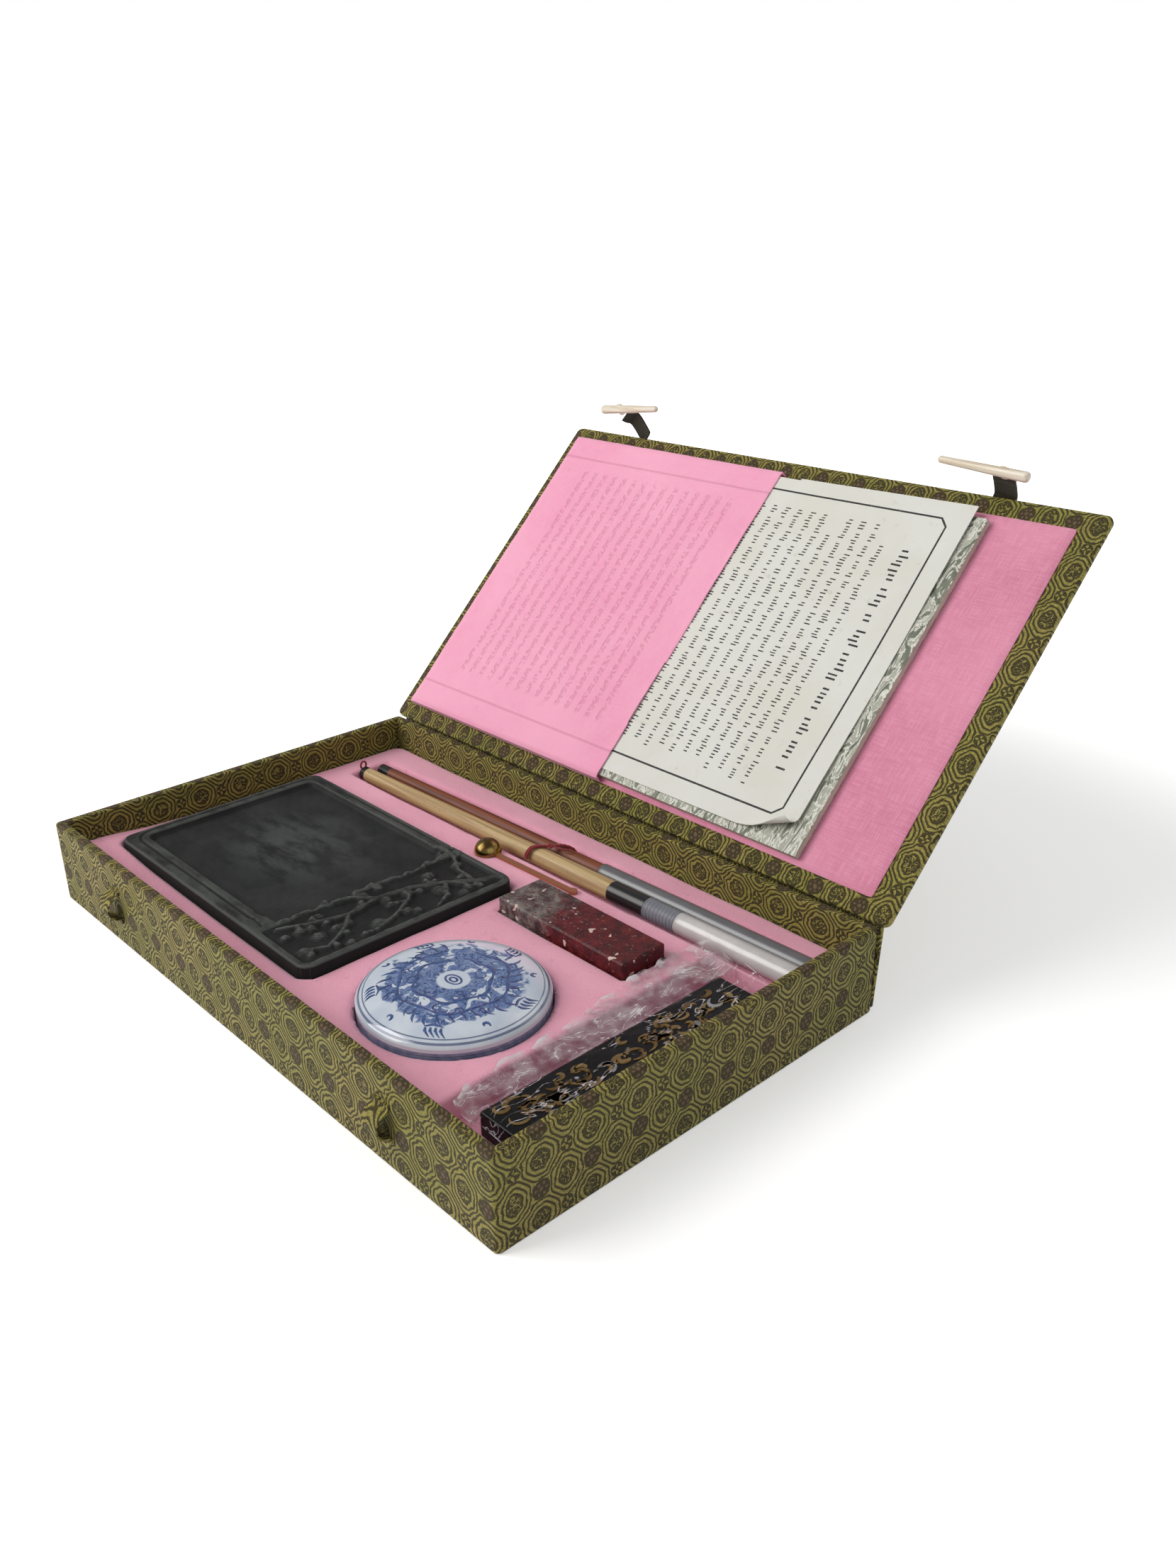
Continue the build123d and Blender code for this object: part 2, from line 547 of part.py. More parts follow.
with BuildPart() as ink_stick_sleeve:
    sleeve_end = STICK_Y + STICK_LENGTH / 2 + SLEEVE_BACK
    with BuildSketch(Plane.XZ.offset(-sleeve_end)):
        with Locations((STICK_X, SLEEVE_FLOOR + SLEEVE_HEIGHT / 2)):
            RectangleRounded(
                STICK_WIDTH + 2 * (SLEEVE_FILM + SLEEVE_EASE),
                SLEEVE_HEIGHT,
                STICK_EDGE + SLEEVE_FILM,
            )
        with Locations((STICK_SLOT_X, SLEEVE_FLOOR + SLEEVE_HEIGHT / 2)):
            Rectangle(STICK_SLOT_WIDTH - 2 * SLEEVE_GAP, 2 * SLEEVE_FILM)
        with Locations((STICK_X, SLEEVE_FLOOR + SLEEVE_HEIGHT / 2)):
            RectangleRounded(
                STICK_WIDTH + 2 * SLEEVE_EASE,
                STICK_THICK + 2 * SLEEVE_EASE,
                STICK_EDGE,
                mode=Mode.SUBTRACT,
            )
    extrude(amount=SLEEVE_FRONT + STICK_LENGTH + SLEEVE_BACK)
pieces["ink_stick_sleeve"] = ink_stick_sleeve

# ---------------------------------------------------------------- brushes


def brush_frame(tail, tip):
    """Sketch plane with its X along a brush, from the tail, and its Y upwards; and the brush's axis."""
    along = Vector(*tip) - Vector(*tail)
    plane = Plane(origin=tail, x_dir=along, z_dir=along.cross(Vector(0, 0, 1)))
    return plane, Axis(tail, along)


def lathe(plane, axis, profile):
    """Solid turned from (distance along, radius) points, closed along the axis."""
    with BuildPart() as turned:
        with BuildSketch(plane):
            with BuildLine():
                Polyline((profile[0][0], 0), *profile, (profile[-1][0], 0), close=True)
            make_face()
        revolve(axis=axis)
    return turned


def tube(plane, axis, start, end, radius, wall):
    """Open tube along an axis."""
    with BuildPart() as turned:
        with BuildSketch(plane):
            with BuildLine():
                Polyline(
                    (start, radius - wall),
                    (start, radius),
                    (end, radius),
                    (end, radius - wall),
                    close=True,
                )
            make_face()
        revolve(axis=axis)
    return turned


def brush_hair(plane, axis, start, length, root_radius):
    """Hair that swells a little past its root and runs out to a point."""
    with BuildPart() as turned:
        with BuildSketch(plane):
            with BuildLine():
                Line((start, 0), (start, root_radius * HAIR_ROOT))
                Spline(
                    (start, root_radius * HAIR_ROOT),
                    (start + length * HAIR_BELLY, root_radius),
                    (start + length * HAIR_NARROWS, root_radius * HAIR_TAPER),
                    (start + length, 0),
                )
                Line((start + length, 0), (start, 0))
            make_face()
        revolve(axis=axis)
    return turned


brushes = {
    "a": (A_TAIL, A_TIP, A_TAIL_CAP, A_CAP_LENGTH, A_FERRULE_SHOWN, A_FERRULE, A_HAIR),
    "b": (B_TAIL, B_TIP, B_TAIL_CAP, B_CAP_LENGTH, B_FERRULE_SHOWN, B_FERRULE, B_HAIR),
}
brush_radii = {"a": (A_TAIL_R, A_HEAD_R, A_CAP_R), "b": (B_TAIL_R, B_HEAD_R, B_CAP_R)}
handle_lengths = {}

for letter, (tail, tip, tail_cap, cap_length, shown, ferrule, hair) in brushes.items():
    tail_r, head_r, cap_r = brush_radii[letter]
    plane, axis = brush_frame(tail, tip)
    length = (Vector(*tip) - Vector(*tail)).length
    mouth = length - cap_length
    head = mouth - shown
    handle_lengths[letter] = head - tail_cap
    inside_r = cap_r - CAP_WALL - CAP_FIT
    end = head + ferrule
    pieces[f"brush_{letter}_tail_cap"] = lathe(
        plane, axis, [(0, tail_r - TURNED_EDGE), (TURNED_EDGE, tail_r), (tail_cap, tail_r)]
    )
    pieces[f"brush_{letter}_handle"] = lathe(
        plane, axis, [(tail_cap, tail_r), (head - TURNED_EDGE, head_r), (head, head_r - TURNED_EDGE)]
    )
    ferrule_points = [(head, inside_r), (end, inside_r)]
    if shown:
        collar_r = cap_r - COLLAR_STEP
        ferrule_points = [(head, collar_r), (mouth, collar_r), (mouth, inside_r), (end, inside_r)]
    pieces[f"brush_{letter}_ferrule"] = lathe(plane, axis, ferrule_points)
    pieces[f"brush_{letter}_hair"] = brush_hair(plane, axis, end, hair, cap_r - CAP_WALL - HAIR_FIT)
    pieces[f"brush_{letter}_cap"] = tube(plane, axis, mouth, length, cap_r, CAP_WALL)

with BuildPart() as brush_a_loop:
    loop_place = (A_TAIL[0] - HANG_CORD_R, A_TAIL[1], A_TAIL[2] + A_TAIL_R - HANG_LOOP_SUNK + HANG_LOOP_R)
    with Locations(Location(loop_place, (0, 90, 0))):
        Torus(HANG_LOOP_R, HANG_CORD_R)
pieces["brush_a_loop"] = brush_a_loop


def along_brush(tail, tip, x):
    """Height and depth of a brush's axis at a given X."""
    share = (x - tail[0]) / (tip[0] - tail[0])
    return (
        tail[1] + share * (tip[1] - tail[1]),
        tail[2] + share * (tip[2] - tail[2]),
    )


def handle_radius(x, tail, tail_cap, handle, tail_r, head_r):
    """Radius of a tapered handle at a given X."""
    return tail_r + (head_r - tail_r) * (x - tail[0] - tail_cap) / handle


TIE_X = (TIE_FRONT_X + TIE_BACK_X) / 2
tie_a = along_brush(A_TAIL, A_TIP, TIE_X)
tie_b = along_brush(B_TAIL, B_TIP, TIE_X)
tie_a_r = handle_radius(TIE_X, A_TAIL, A_TAIL_CAP, handle_lengths["a"], A_TAIL_R, A_HEAD_R)
tie_b_r = handle_radius(TIE_X, B_TAIL, B_TAIL_CAP, handle_lengths["b"], B_TAIL_R, B_HEAD_R)
tie_reach = abs(TIE_BACK_X - TIE_FRONT_X) + TIE_WIDTH
tie_front = tie_a[0] - tie_a_r - TIE_CLEAR - TIE_THICK
tie_back = tie_b[0] + tie_b_r + TIE_CLEAR + TIE_THICK

with BuildPart() as brush_tie:
    for outset, mode in ((TIE_CLEAR + TIE_THICK, Mode.ADD), (TIE_CLEAR, Mode.SUBTRACT)):
        with BuildSketch(Plane.YZ.offset(TIE_X)):
            with Locations(tie_a):
                Circle(tie_a_r + outset)
            with Locations(tie_b):
                Circle(tie_b_r + outset)
            make_hull()
        extrude(amount=tie_reach, both=True, mode=mode)
    with BuildSketch():
        with BuildLine():
            Polyline(
                (TIE_FRONT_X - TIE_WIDTH / 2, tie_front),
                (TIE_FRONT_X + TIE_WIDTH / 2, tie_front),
                (TIE_BACK_X + TIE_WIDTH / 2, tie_back),
                (TIE_BACK_X - TIE_WIDTH / 2, tie_back),
                close=True,
            )
        make_face()
    extrude(amount=TRAY_HEIGHT, mode=Mode.INTERSECT)
pieces["brush_tie"] = brush_tie

# ---------------------------------------------------------------- water spoon
SPOON_Z = INSERT_TOP + SEAT_GAP
spoon_axis = Plane(origin=(SPOON_X, SPOON_Y, SPOON_Z), x_dir=(1, 0, 0), z_dir=(0, -1, 0))
spoon_reach = Vector(SPOON_TIP_X - SPOON_X, SPOON_TIP_Y - SPOON_Y)
spoon_flat = Plane(
    origin=(SPOON_X, SPOON_Y, SPOON_Z), x_dir=(spoon_reach.X, spoon_reach.Y, 0), z_dir=(0, 0, 1)
)

with BuildPart() as spoon_bowl:
    with BuildSketch(spoon_axis):
        with BuildLine():
            Line((SPOON_R - SPOON_WALL, 0), (SPOON_R, 0))
            ThreePointArc(
                (SPOON_R, 0),
                (SPOON_R * cos(radians(45)), SPOON_R * sin(radians(45))),
                (0, SPOON_R),
            )
            Line((0, SPOON_R), (0, SPOON_R - SPOON_WALL))
            ThreePointArc(
                (0, SPOON_R - SPOON_WALL),
                ((SPOON_R - SPOON_WALL) * cos(radians(45)), (SPOON_R - SPOON_WALL) * sin(radians(45))),
                (SPOON_R - SPOON_WALL, 0),
            )
        make_face()
    revolve(axis=Axis((SPOON_X, SPOON_Y, 0), (0, 0, 1)))
pieces["spoon_bowl"] = spoon_bowl

with BuildPart() as spoon_handle:
    with BuildSketch(spoon_flat):
        with Locations((spoon_reach.length / 2, 0)):
            Rectangle(spoon_reach.length, SPOON_HANDLE_WIDTH)
    extrude(amount=SPOON_HANDLE_THICK)
    with BuildSketch(spoon_flat):
        with Locations((spoon_reach.length, 0)):
            Circle(SPOON_END_R)
    extrude(amount=SPOON_END_THICK)
    with BuildSketch(spoon_flat):
        Circle(SPOON_R)
    extrude(amount=SPOON_END_THICK, mode=Mode.SUBTRACT)
pieces["spoon_handle"] = spoon_handle

# ---------------------------------------------------------------- spine flap
SPINE_LENGTH = TRAY_LENGTH - 2 * SPINE_INSET

with BuildPart() as spine_brocade:
    with BuildSketch(spine_face.offset(-SPINE_THICK / 2)):
        with Locations((0, SPINE_HEIGHT / 2)):
            Rectangle(SPINE_LENGTH, SPINE_HEIGHT)
    extrude(amount=SPINE_THICK)
    with BuildSketch(spine_face.offset(CLOTH - SPINE_THICK / 2)):
        with Locations((0, SPINE_HEIGHT / 2)):
            Rectangle(SPINE_LENGTH - 2 * CLOTH, SPINE_HEIGHT - 2 * CLOTH)
    extrude(amount=SPINE_THICK - 2 * CLOTH, mode=Mode.SUBTRACT)
pieces["spine_brocade"] = spine_brocade

with BuildPart() as spine_board:
    with BuildSketch(spine_face.offset(CLOTH - SPINE_THICK / 2)):
        with Locations((0, SPINE_HEIGHT / 2)):
            Rectangle(SPINE_LENGTH - 2 * CLOTH, SPINE_HEIGHT - 2 * CLOTH)
    extrude(amount=SPINE_THICK - 2 * CLOTH)
pieces["spine_board"] = spine_board

# ---------------------------------------------------------------- lid
lid_normal = Axis(lid_face.origin, lid_face.z_dir)

with BuildPart() as lid_brocade:
    with BuildSketch(lid_face.offset(-LID_THICK)):
        with Locations((0, LID_LENGTH / 2)):
            RectangleRounded(LID_WIDTH, LID_LENGTH, LID_CORNER)
    extrude(amount=LID_THICK)
    fillet(lid_brocade.faces().filter_by(lid_normal).edges(), RIM_ROUND)
    with BuildSketch(lid_face.offset(CLOTH - LID_THICK)):
        with Locations((0, LID_LENGTH / 2)):
            RectangleRounded(LID_WIDTH - 2 * CLOTH, LID_LENGTH - 2 * CLOTH, LID_CORNER - CLOTH)
    extrude(amount=LID_CARD, mode=Mode.SUBTRACT)
pieces["lid_brocade"] = lid_brocade

with BuildPart() as lid_board:
    with BuildSketch(lid_face.offset(CLOTH - LID_THICK)):
        with Locations((0, LID_LENGTH / 2)):
            RectangleRounded(LID_WIDTH - 2 * CLOTH, LID_LENGTH - 2 * CLOTH, LID_CORNER - CLOTH)
    extrude(amount=LID_CARD)
pieces["lid_board"] = lid_board

PANEL_LEFT = LINING_LEFT - INNER_X
PANEL_LENGTH = INNER_LENGTH - LINING_LEFT - LINING_RIGHT
PANEL_WIDTH = LID_LENGTH - LINING_HINGE_SIDE - LINING_FREE_SIDE
PANEL_MIDDLE = (PANEL_LEFT + PANEL_LENGTH / 2, LINING_HINGE_SIDE + PANEL_WIDTH / 2)
LINING = LINING_CARD + CLOTH

with BuildPart() as lining_card:
    with BuildSketch(lid_face):
        with Locations(PANEL_MIDDLE):
            Rectangle(PANEL_LENGTH - 2 * CLOTH, PANEL_WIDTH - 2 * CLOTH)
    extrude(amount=LINING_CARD)
pieces["lining_card"] = lining_card

with BuildPart() as lining_cloth:
    with BuildSketch(lid_face):
        with Locations(PANEL_MIDDLE):
            Rectangle(PANEL_LENGTH, PANEL_WIDTH)
    extrude(amount=LINING)
    with BuildSketch(lid_face):
        with Locations(PANEL_MIDDLE):
            Rectangle(PANEL_LENGTH - 2 * CLOTH, PANEL_WIDTH - 2 * CLOTH)
    extrude(amount=LINING_CARD, mode=Mode.SUBTRACT)
pieces["lining_cloth"] = lining_cloth

# ---------------------------------------------------------------- papers in the lid's pocket
PAD_FOOT = LINING + PAPER_GAP
LEAFLET_FOOT = PAD_FOOT + PAD_THICK + STACK_GAP
POCKET_ROOM = LEAFLET_FOOT + LEAFLET_THICK + PAPER_GAP
PAD_LENGTH = PANEL_LENGTH - PAD_LEFT - PAD_RIGHT
PAD_WIDTH = PANEL_WIDTH - PAD_FROM_HINGE - PAD_FROM_FREE
LEAFLET_LENGTH = PANEL_LENGTH - LEAFLET_LEFT - LEAFLET_RIGHT
LEAFLET_WIDTH = PANEL_WIDTH - LEAFLET_FROM_HINGE - LEAFLET_FROM_FREE
PAD_MIDDLE = (
    PANEL_LEFT + PAD_LEFT + PAD_LENGTH / 2,
    LINING_HINGE_SIDE + PAD_FROM_HINGE + PAD_WIDTH / 2,
)
LEAFLET_MIDDLE = (
    PANEL_LEFT + LEAFLET_LEFT + LEAFLET_LENGTH / 2,
    LINING_HINGE_SIDE + LEAFLET_FROM_HINGE + LEAFLET_WIDTH / 2,
)

with BuildPart() as pad_cover:
    with BuildSketch(lid_face.offset(PAD_FOOT)):
        with Locations(PAD_MIDDLE):
            Rectangle(PAD_LENGTH, PAD_WIDTH)
    extrude(amount=PAD_THICK)
    with BuildSketch(lid_face.offset(PAD_FOOT + PAD_COVER)):
        with Locations((PAD_MIDDLE[0] + PAD_COVER, PAD_MIDDLE[1])):
            Rectangle(PAD_LENGTH, PAD_WIDTH)
    extrude(amount=PAD_THICK - 2 * PAD_COVER, mode=Mode.SUBTRACT)
pieces["pad_cover"] = pad_cover

with BuildPart() as pad_paper:
    with BuildSketch(lid_face.offset(PAD_FOOT + PAD_COVER)):
        with Locations((PAD_MIDDLE[0] + PAD_COVER / 2, PAD_MIDDLE[1])):
            Rectangle(PAD_LENGTH - PAD_COVER, PAD_WIDTH)
    extrude(amount=PAD_THICK - 2 * PAD_COVER)
pieces["pad_paper"] = pad_paper

with BuildPart() as leaflet:
    with BuildSketch(lid_face.offset(LEAFLET_FOOT)):
        with Locations(LEAFLET_MIDDLE):
            Rectangle(LEAFLET_LENGTH, LEAFLET_WIDTH)
    extrude(amount=LEAFLET_THICK)
pieces["leaflet"] = leaflet


def lid_section(from_hinge):
    """Sketch plane across the lid: its X runs along the box and its Y out of the inner face."""
    middle = lid_face.from_local_coords((0, from_hinge, 0))
    return Plane(origin=middle, x_dir=(1, 0, 0), z_dir=-lid_face.y_dir)


POCKET_MOUTH = PANEL_LEFT + POCKET_LENGTH
POCKET_TOP = POCKET_ROOM + CLOTH

with BuildPart() as pocket:
    with BuildSketch(lid_section(LINING_HINGE_SIDE + PANEL_WIDTH)):
        with BuildLine():
            Polyline(
                (PANEL_LEFT, LINING),
                (PANEL_LEFT, LINING + CLOTH),
                (PANEL_LEFT + POCKET_SLOPE, POCKET_TOP),
                (POCKET_MOUTH, POCKET_TOP),
                (POCKET_MOUTH, LINING),
                close=True,
            )
        make_face()
    extrude(amount=PANEL_WIDTH)
    with BuildSketch(lid_section(LINING_HINGE_SIDE + PANEL_WIDTH - CLOTH)):
        with BuildLine():
            Polyline(
                (PANEL_LEFT + CLOTH / 2, LINING),
                (PANEL_LEFT + CLOTH / 2 + POCKET_SLOPE, POCKET_ROOM),
                (POCKET_MOUTH + 1, POCKET_ROOM),
                (POCKET_MOUTH + 1, LINING),
                close=True,
            )
        make_face()
    extrude(amount=PANEL_WIDTH - 2 * CLOTH, mode=Mode.SUBTRACT)
pieces["pocket"] = pocket

# ---------------------------------------------------------------- tapes and pegs
tape_fold_line = lid_face.from_local_coords((0, LID_LENGTH + TAPE_HINGE_OUT, -LID_THICK / 2))


def tape_plane(side, fold):
    """Plane of a tape: its origin on the fold line, X along the box, Y along the tape."""
    rise = radians(RISE + fold)
    return Plane(
        origin=(side * TAPE_X, tape_fold_line.Y, tape_fold_line.Z),
        x_dir=(1, 0, 0),
        z_dir=(0, -sin(rise), cos(rise)),
    )


tapes = {
    "left": (-1, TAPE_LEFT_FOLD, TAPE_LEFT_REACH, TAPE_LEFT_SPLAY, PEG_LEFT_TILT, PEG_LEFT_HEAD),
    "right": (1, TAPE_RIGHT_FOLD, TAPE_RIGHT_REACH, TAPE_RIGHT_SPLAY, PEG_RIGHT_TILT, PEG_RIGHT_HEAD),
}
peg_middles = {}

for name, (side, fold, reach, splay, tilt, head) in tapes.items():
    flat = tape_plane(side, fold)
    tape_end = reach - PEG_HEAD_R - PEG_FLEX
    start_shift = side * splay * TAPE_FLEX / reach
    end_shift = side * splay * tape_end / reach
    tape_tip = reach - PEG_COLLAR_R - PEG_GAP
    with BuildPart() as tape:
        with BuildSketch(flat.offset(-TAPE_THICK / 2)):
            with BuildLine():
                Polyline(
                    (start_shift - TAPE_WIDTH / 2, TAPE_FLEX),
                    (start_shift + TAPE_WIDTH / 2, TAPE_FLEX),
                    (end_shift + TAPE_WIDTH / 2, tape_end),
                    (side * splay + TAPE_TIP_WIDTH / 2, tape_tip),
                    (side * splay - TAPE_TIP_WIDTH / 2, tape_tip),
                    (end_shift - TAPE_WIDTH / 2, tape_end),
                    close=True,
                )
            make_face()
        extrude(amount=TAPE_THICK)
    pieces[f"tape_{name}"] = tape

    peg_middle = flat.from_local_coords((side * splay, reach, 0))
    peg_middles[name] = peg_middle
    lean = radians(tilt)
    peg_dir = side * (cos(lean) * flat.x_dir + sin(lean) * flat.y_dir)
    tail = head - PEG_LENGTH
    with BuildPart() as peg:
        with BuildSketch(Plane(origin=peg_middle, x_dir=peg_dir, z_dir=flat.z_dir)):
            with BuildLine():
                ThreePointArc(
                    (tail, 0),
                    (tail + PEG_TIP_R * (1 - cos(radians(45))), PEG_TIP_R * sin(radians(45))),
                    (tail + PEG_TIP_R, PEG_TIP_R),
                )
                Line((tail + PEG_TIP_R, PEG_TIP_R), (head - PEG_TIP_R, PEG_HEAD_R))
                RadiusArc((head - PEG_TIP_R, PEG_HEAD_R), (head, PEG_HEAD_R - PEG_TIP_R), PEG_TIP_R)
                Polyline((head, PEG_HEAD_R - PEG_TIP_R), (head, 0), (tail, 0))
            make_face()
        revolve(axis=Axis(peg_middle, peg_dir))
        with BuildSketch(Plane(origin=peg_middle, x_dir=flat.x_dir, z_dir=flat.z_dir)):
            Circle(PEG_COLLAR_R)
        extrude(amount=TAPE_THICK / 2, both=True)
    pieces[f"peg_{name}"] = peg

# ---------------------------------------------------------------- files
os.makedirs("parts", exist_ok=True)
for name, piece in pieces.items():
    piece.part.label = name
    export_step(piece.part, f"parts/{name}.step")
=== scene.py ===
"""Looks of a calligraphy set box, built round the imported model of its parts.

Sizes are in millimetres in the tray's frame: X runs along the front, Y towards
the hinge and Z upwards. Meshes are turned into metres when they are made.
"""

import logging
import math
from dataclasses import dataclass
from enum import Enum
from typing import Callable, Sequence

import bmesh
import bpy
import numpy as np
from mathutils import Matrix, Vector


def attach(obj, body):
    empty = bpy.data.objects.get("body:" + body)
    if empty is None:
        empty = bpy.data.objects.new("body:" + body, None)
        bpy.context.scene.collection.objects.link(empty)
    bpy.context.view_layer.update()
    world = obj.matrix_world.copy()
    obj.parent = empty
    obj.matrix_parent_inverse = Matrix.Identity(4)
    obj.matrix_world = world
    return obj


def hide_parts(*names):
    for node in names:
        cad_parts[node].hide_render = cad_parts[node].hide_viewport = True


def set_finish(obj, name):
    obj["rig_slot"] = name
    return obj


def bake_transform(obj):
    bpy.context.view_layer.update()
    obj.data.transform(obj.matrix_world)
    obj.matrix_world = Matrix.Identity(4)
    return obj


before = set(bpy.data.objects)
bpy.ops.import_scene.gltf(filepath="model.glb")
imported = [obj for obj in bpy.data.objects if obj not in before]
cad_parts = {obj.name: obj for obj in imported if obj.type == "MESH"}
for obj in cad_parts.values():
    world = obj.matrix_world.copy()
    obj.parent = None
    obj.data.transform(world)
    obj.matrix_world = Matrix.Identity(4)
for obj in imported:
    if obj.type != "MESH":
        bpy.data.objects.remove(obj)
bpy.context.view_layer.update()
LOG = logging.getLogger("calligraphy_set")
MM = 0.001
ROW_PITCH = 6.6  # distance between the leaflet's lines of print, in mm
ROUNDNESS = 0.98  # share of a full quarter circle in a bevel's slope
PLAN = "cloth_plan"  # attribute that holds a point's place on the flat cloth, in mm

Array = np.ndarray
Field = Callable[[Array, Array], Array]
Pair = tuple[float, float]
Triple = tuple[float, float, float]
Colour = tuple[float, float, float, float]
Rect = tuple[float, float, float, float]  # two sides in X, then two in Y


class Body(str, Enum):
    """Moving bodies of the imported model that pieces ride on."""

    TRAY = "tray"
    SPINE = "spine"
    LID = "lid"
    LEAFLET = "leaflet"
    TAPE_LEFT = "tape_left"
    TAPE_RIGHT = "tape_right"
    INKSTONE = "inkstone"
    BRUSHES = "brushes"
    PASTE_LID = "paste_lid"
    INK = "ink"


class Coords(Enum):
    """Where a finish takes its coordinates from."""

    OBJECT = "object"
    PLAN = "plan"


def srgb(red: int, green: int, blue: int) -> Colour:
    """Turns display colour values from 0 to 255 into a shader's linear colour.

    Args:
        red: Share of red.
        green: Share of green.
        blue: Share of blue.

    Returns:
        The linear colour with an alpha of one.
    """
    parts = [v / 255 for v in (red, green, blue)]
    line = [p / 12.92 if p <= 0.04045 else ((p + 0.055) / 1.055) ** 2.4 for p in parts]
    return (line[0], line[1], line[2], 1.0)


# ---- shader nodes


class Value:
    """A node's output, which adds and multiplies like a number."""

    def __init__(self, graph: "Graph", socket: bpy.types.NodeSocket) -> None:
        """Keeps the output and the graph that it is in."""
        self.graph, self.socket = graph, socket

    def __add__(self, other: object) -> "Value":
        """Adds a value or a number."""
        return self.graph.math("ADD", self, other)

    def __sub__(self, other: object) -> "Value":
        """Takes away a value or a number."""
        return self.graph.math("SUBTRACT", self, other)

    def __rsub__(self, other: object) -> "Value":
        """Takes this value away from a number."""
        return self.graph.math("SUBTRACT", other, self)

    def __mul__(self, other: object) -> "Value":
        """Multiplies by a value or a number."""
        return self.graph.math("MULTIPLY", self, other)

    def __truediv__(self, other: object) -> "Value":
        """Divides by a value or a number."""
        return self.graph.math("DIVIDE", self, other)

    def __rtruediv__(self, other: object) -> "Value":
        """Divides a number by this value."""
        return self.graph.math("DIVIDE", other, self)

    def __abs__(self) -> "Value":
        """Drops the sign."""
        return self.graph.math("ABSOLUTE", self)

    def __or__(self, other: object) -> "Value":
        """Gives the greater of two masks."""
        return self.graph.math("MAXIMUM", self, other)


Looks = dict[str, object]  # values and constants for a node's inputs or outputs, by name


class Graph:
    """Adds nodes to one node tree and links them."""

    def __init__(self, tree: bpy.types.NodeTree) -> None:
        """Keeps the tree that nodes are added to."""
        self.tree = tree

    def node(self, kind: str, given: dict | None = None, **settings: object) -> bpy.types.Node:
        """Adds one node.

        Args:
            kind: The node's type name.
            given: Values or constants for its inputs, by name or number.
            **settings: Properties to set on it.

        Returns:
            The new node.
        """
        made = self.tree.nodes.new(kind)
        for name, value in settings.items():
            setattr(made, name, value)
        for name, value in (given or {}).items():
            self.put(value, made.inputs[name])
        return made

    def put(self, value: object, socket: bpy.types.NodeSocket) -> None:
        """Links a value, or sets a constant, on an input."""
        if isinstance(value, Value):
            self.tree.links.new(value.socket, socket)
        else:
            socket.default_value = value

    def value(self, output: str | int, kind: str, given: dict | None = None,
              **settings: object) -> Value:
        """Adds one node, fed as by node(), and gives one of its outputs."""
        return Value(self, self.node(kind, given, **settings).outputs[output])

    def math(self, operation: str, *values: object) -> Value:
        """Adds a Math node for an operation on values or numbers."""
        return self.value(0, "ShaderNodeMath", dict(enumerate(values)), operation=operation)

    def split(self, vector: Value) -> list[Value]:
        """Splits a vector into its three numbers."""
        made = self.node("ShaderNodeSeparateXYZ", {0: vector})
        return [Value(self, socket) for socket in made.outputs]

    def join(self, *parts: object) -> Value:
        """Joins three numbers into a vector."""
        return self.value(0, "ShaderNodeCombineXYZ", dict(enumerate(parts)))

    def scaled(self, vector: Value, factors: Triple) -> Value:
        """Multiplies a vector's parts by three numbers."""
        return self.value(0, "ShaderNodeVectorMath", {0: vector, 1: factors}, operation="MULTIPLY")

    def away(self, x: Value, y: Value) -> Value:
        """Gives the distance of a place from zero."""
        return self.math("SQRT", x * x + y * y)

    def smooth(self, value: Value, low: float, high: float) -> Value:
        """Maps low to 0 and high to 1 with smooth ends, low being above or below high."""
        flip = low > high
        return self.value("Result", "ShaderNodeMapRange", {
            "Value": value, "From Min": min(low, high), "From Max": max(low, high),
            "To Min": float(flip), "To Max": float(not flip)}, interpolation_type="SMOOTHSTEP")

    def span(self, value: Value, low: float, high: float) -> Value:
        """Maps a number from 0 to 1 onto a plain range."""
        return self.value("Result", "ShaderNodeMapRange",
                          {"Value": value, "To Min": low, "To Max": high})

    def mix(self, factor: Value, first: object, second: object) -> Value:
        """Mixes two colours by the share of the second."""
        return self.value(2, "ShaderNodeMix", {"Factor": factor, 6: first, 7: second},
                          data_type="RGBA")

    def layers(self, base: object, *coats: tuple[Value, object]) -> object:
        """Lays colours over a first one, each by its own mask."""
        for mask, colour in coats:
            base = self.mix(mask, base, colour)
        return base

    def noise(self, vector: Value, scale: float, detail: float = 3.0,
              roughness: float = 0.5, distortion: float = 0.0) -> Value:
        """Adds a noise texture and gives its grey value, about 0.5 on average."""
        return self.value(0, "ShaderNodeTexNoise", {
            "Vector": vector, "Scale": scale, "Detail": detail, "Roughness": roughness,
            "Distortion": distortion})

    def bump(self, height: Value, distance: float, strength: float = 1.0,
             normal: Value | None = None) -> Value:
        """Adds a Bump node.

        Args:
            height: The height mask.
            distance: Height in metres of a mask value of one.
            strength: Share of the effect.
            normal: A normal to add it to.

        Returns:
            The bumped normal.
        """
        given = {"Distance": distance, "Strength": strength, "Height": height}
        if normal is not None:
            given["Normal"] = normal
        return self.value("Normal", "ShaderNodeBump", given)

    def rays(self, first: str, *others: str) -> Value:
        """Gives a mask of the kinds of ray that meet the surface."""
        path = self.node("ShaderNodeLightPath")
        seen = Value(self, path.outputs[f"Is {first} Ray"])
        for kind in others:
            seen = seen | Value(self, path.outputs[f"Is {kind} Ray"])
        return seen

    def group(self, effect: "EffectGroup", **given: object) -> dict[str, Value]:
        """Places a shared effect and gives its outputs by name."""
        made = self.node("ShaderNodeGroup", given, node_tree=effect.tree())
        return {socket.name: Value(self, socket) for socket in made.outputs}


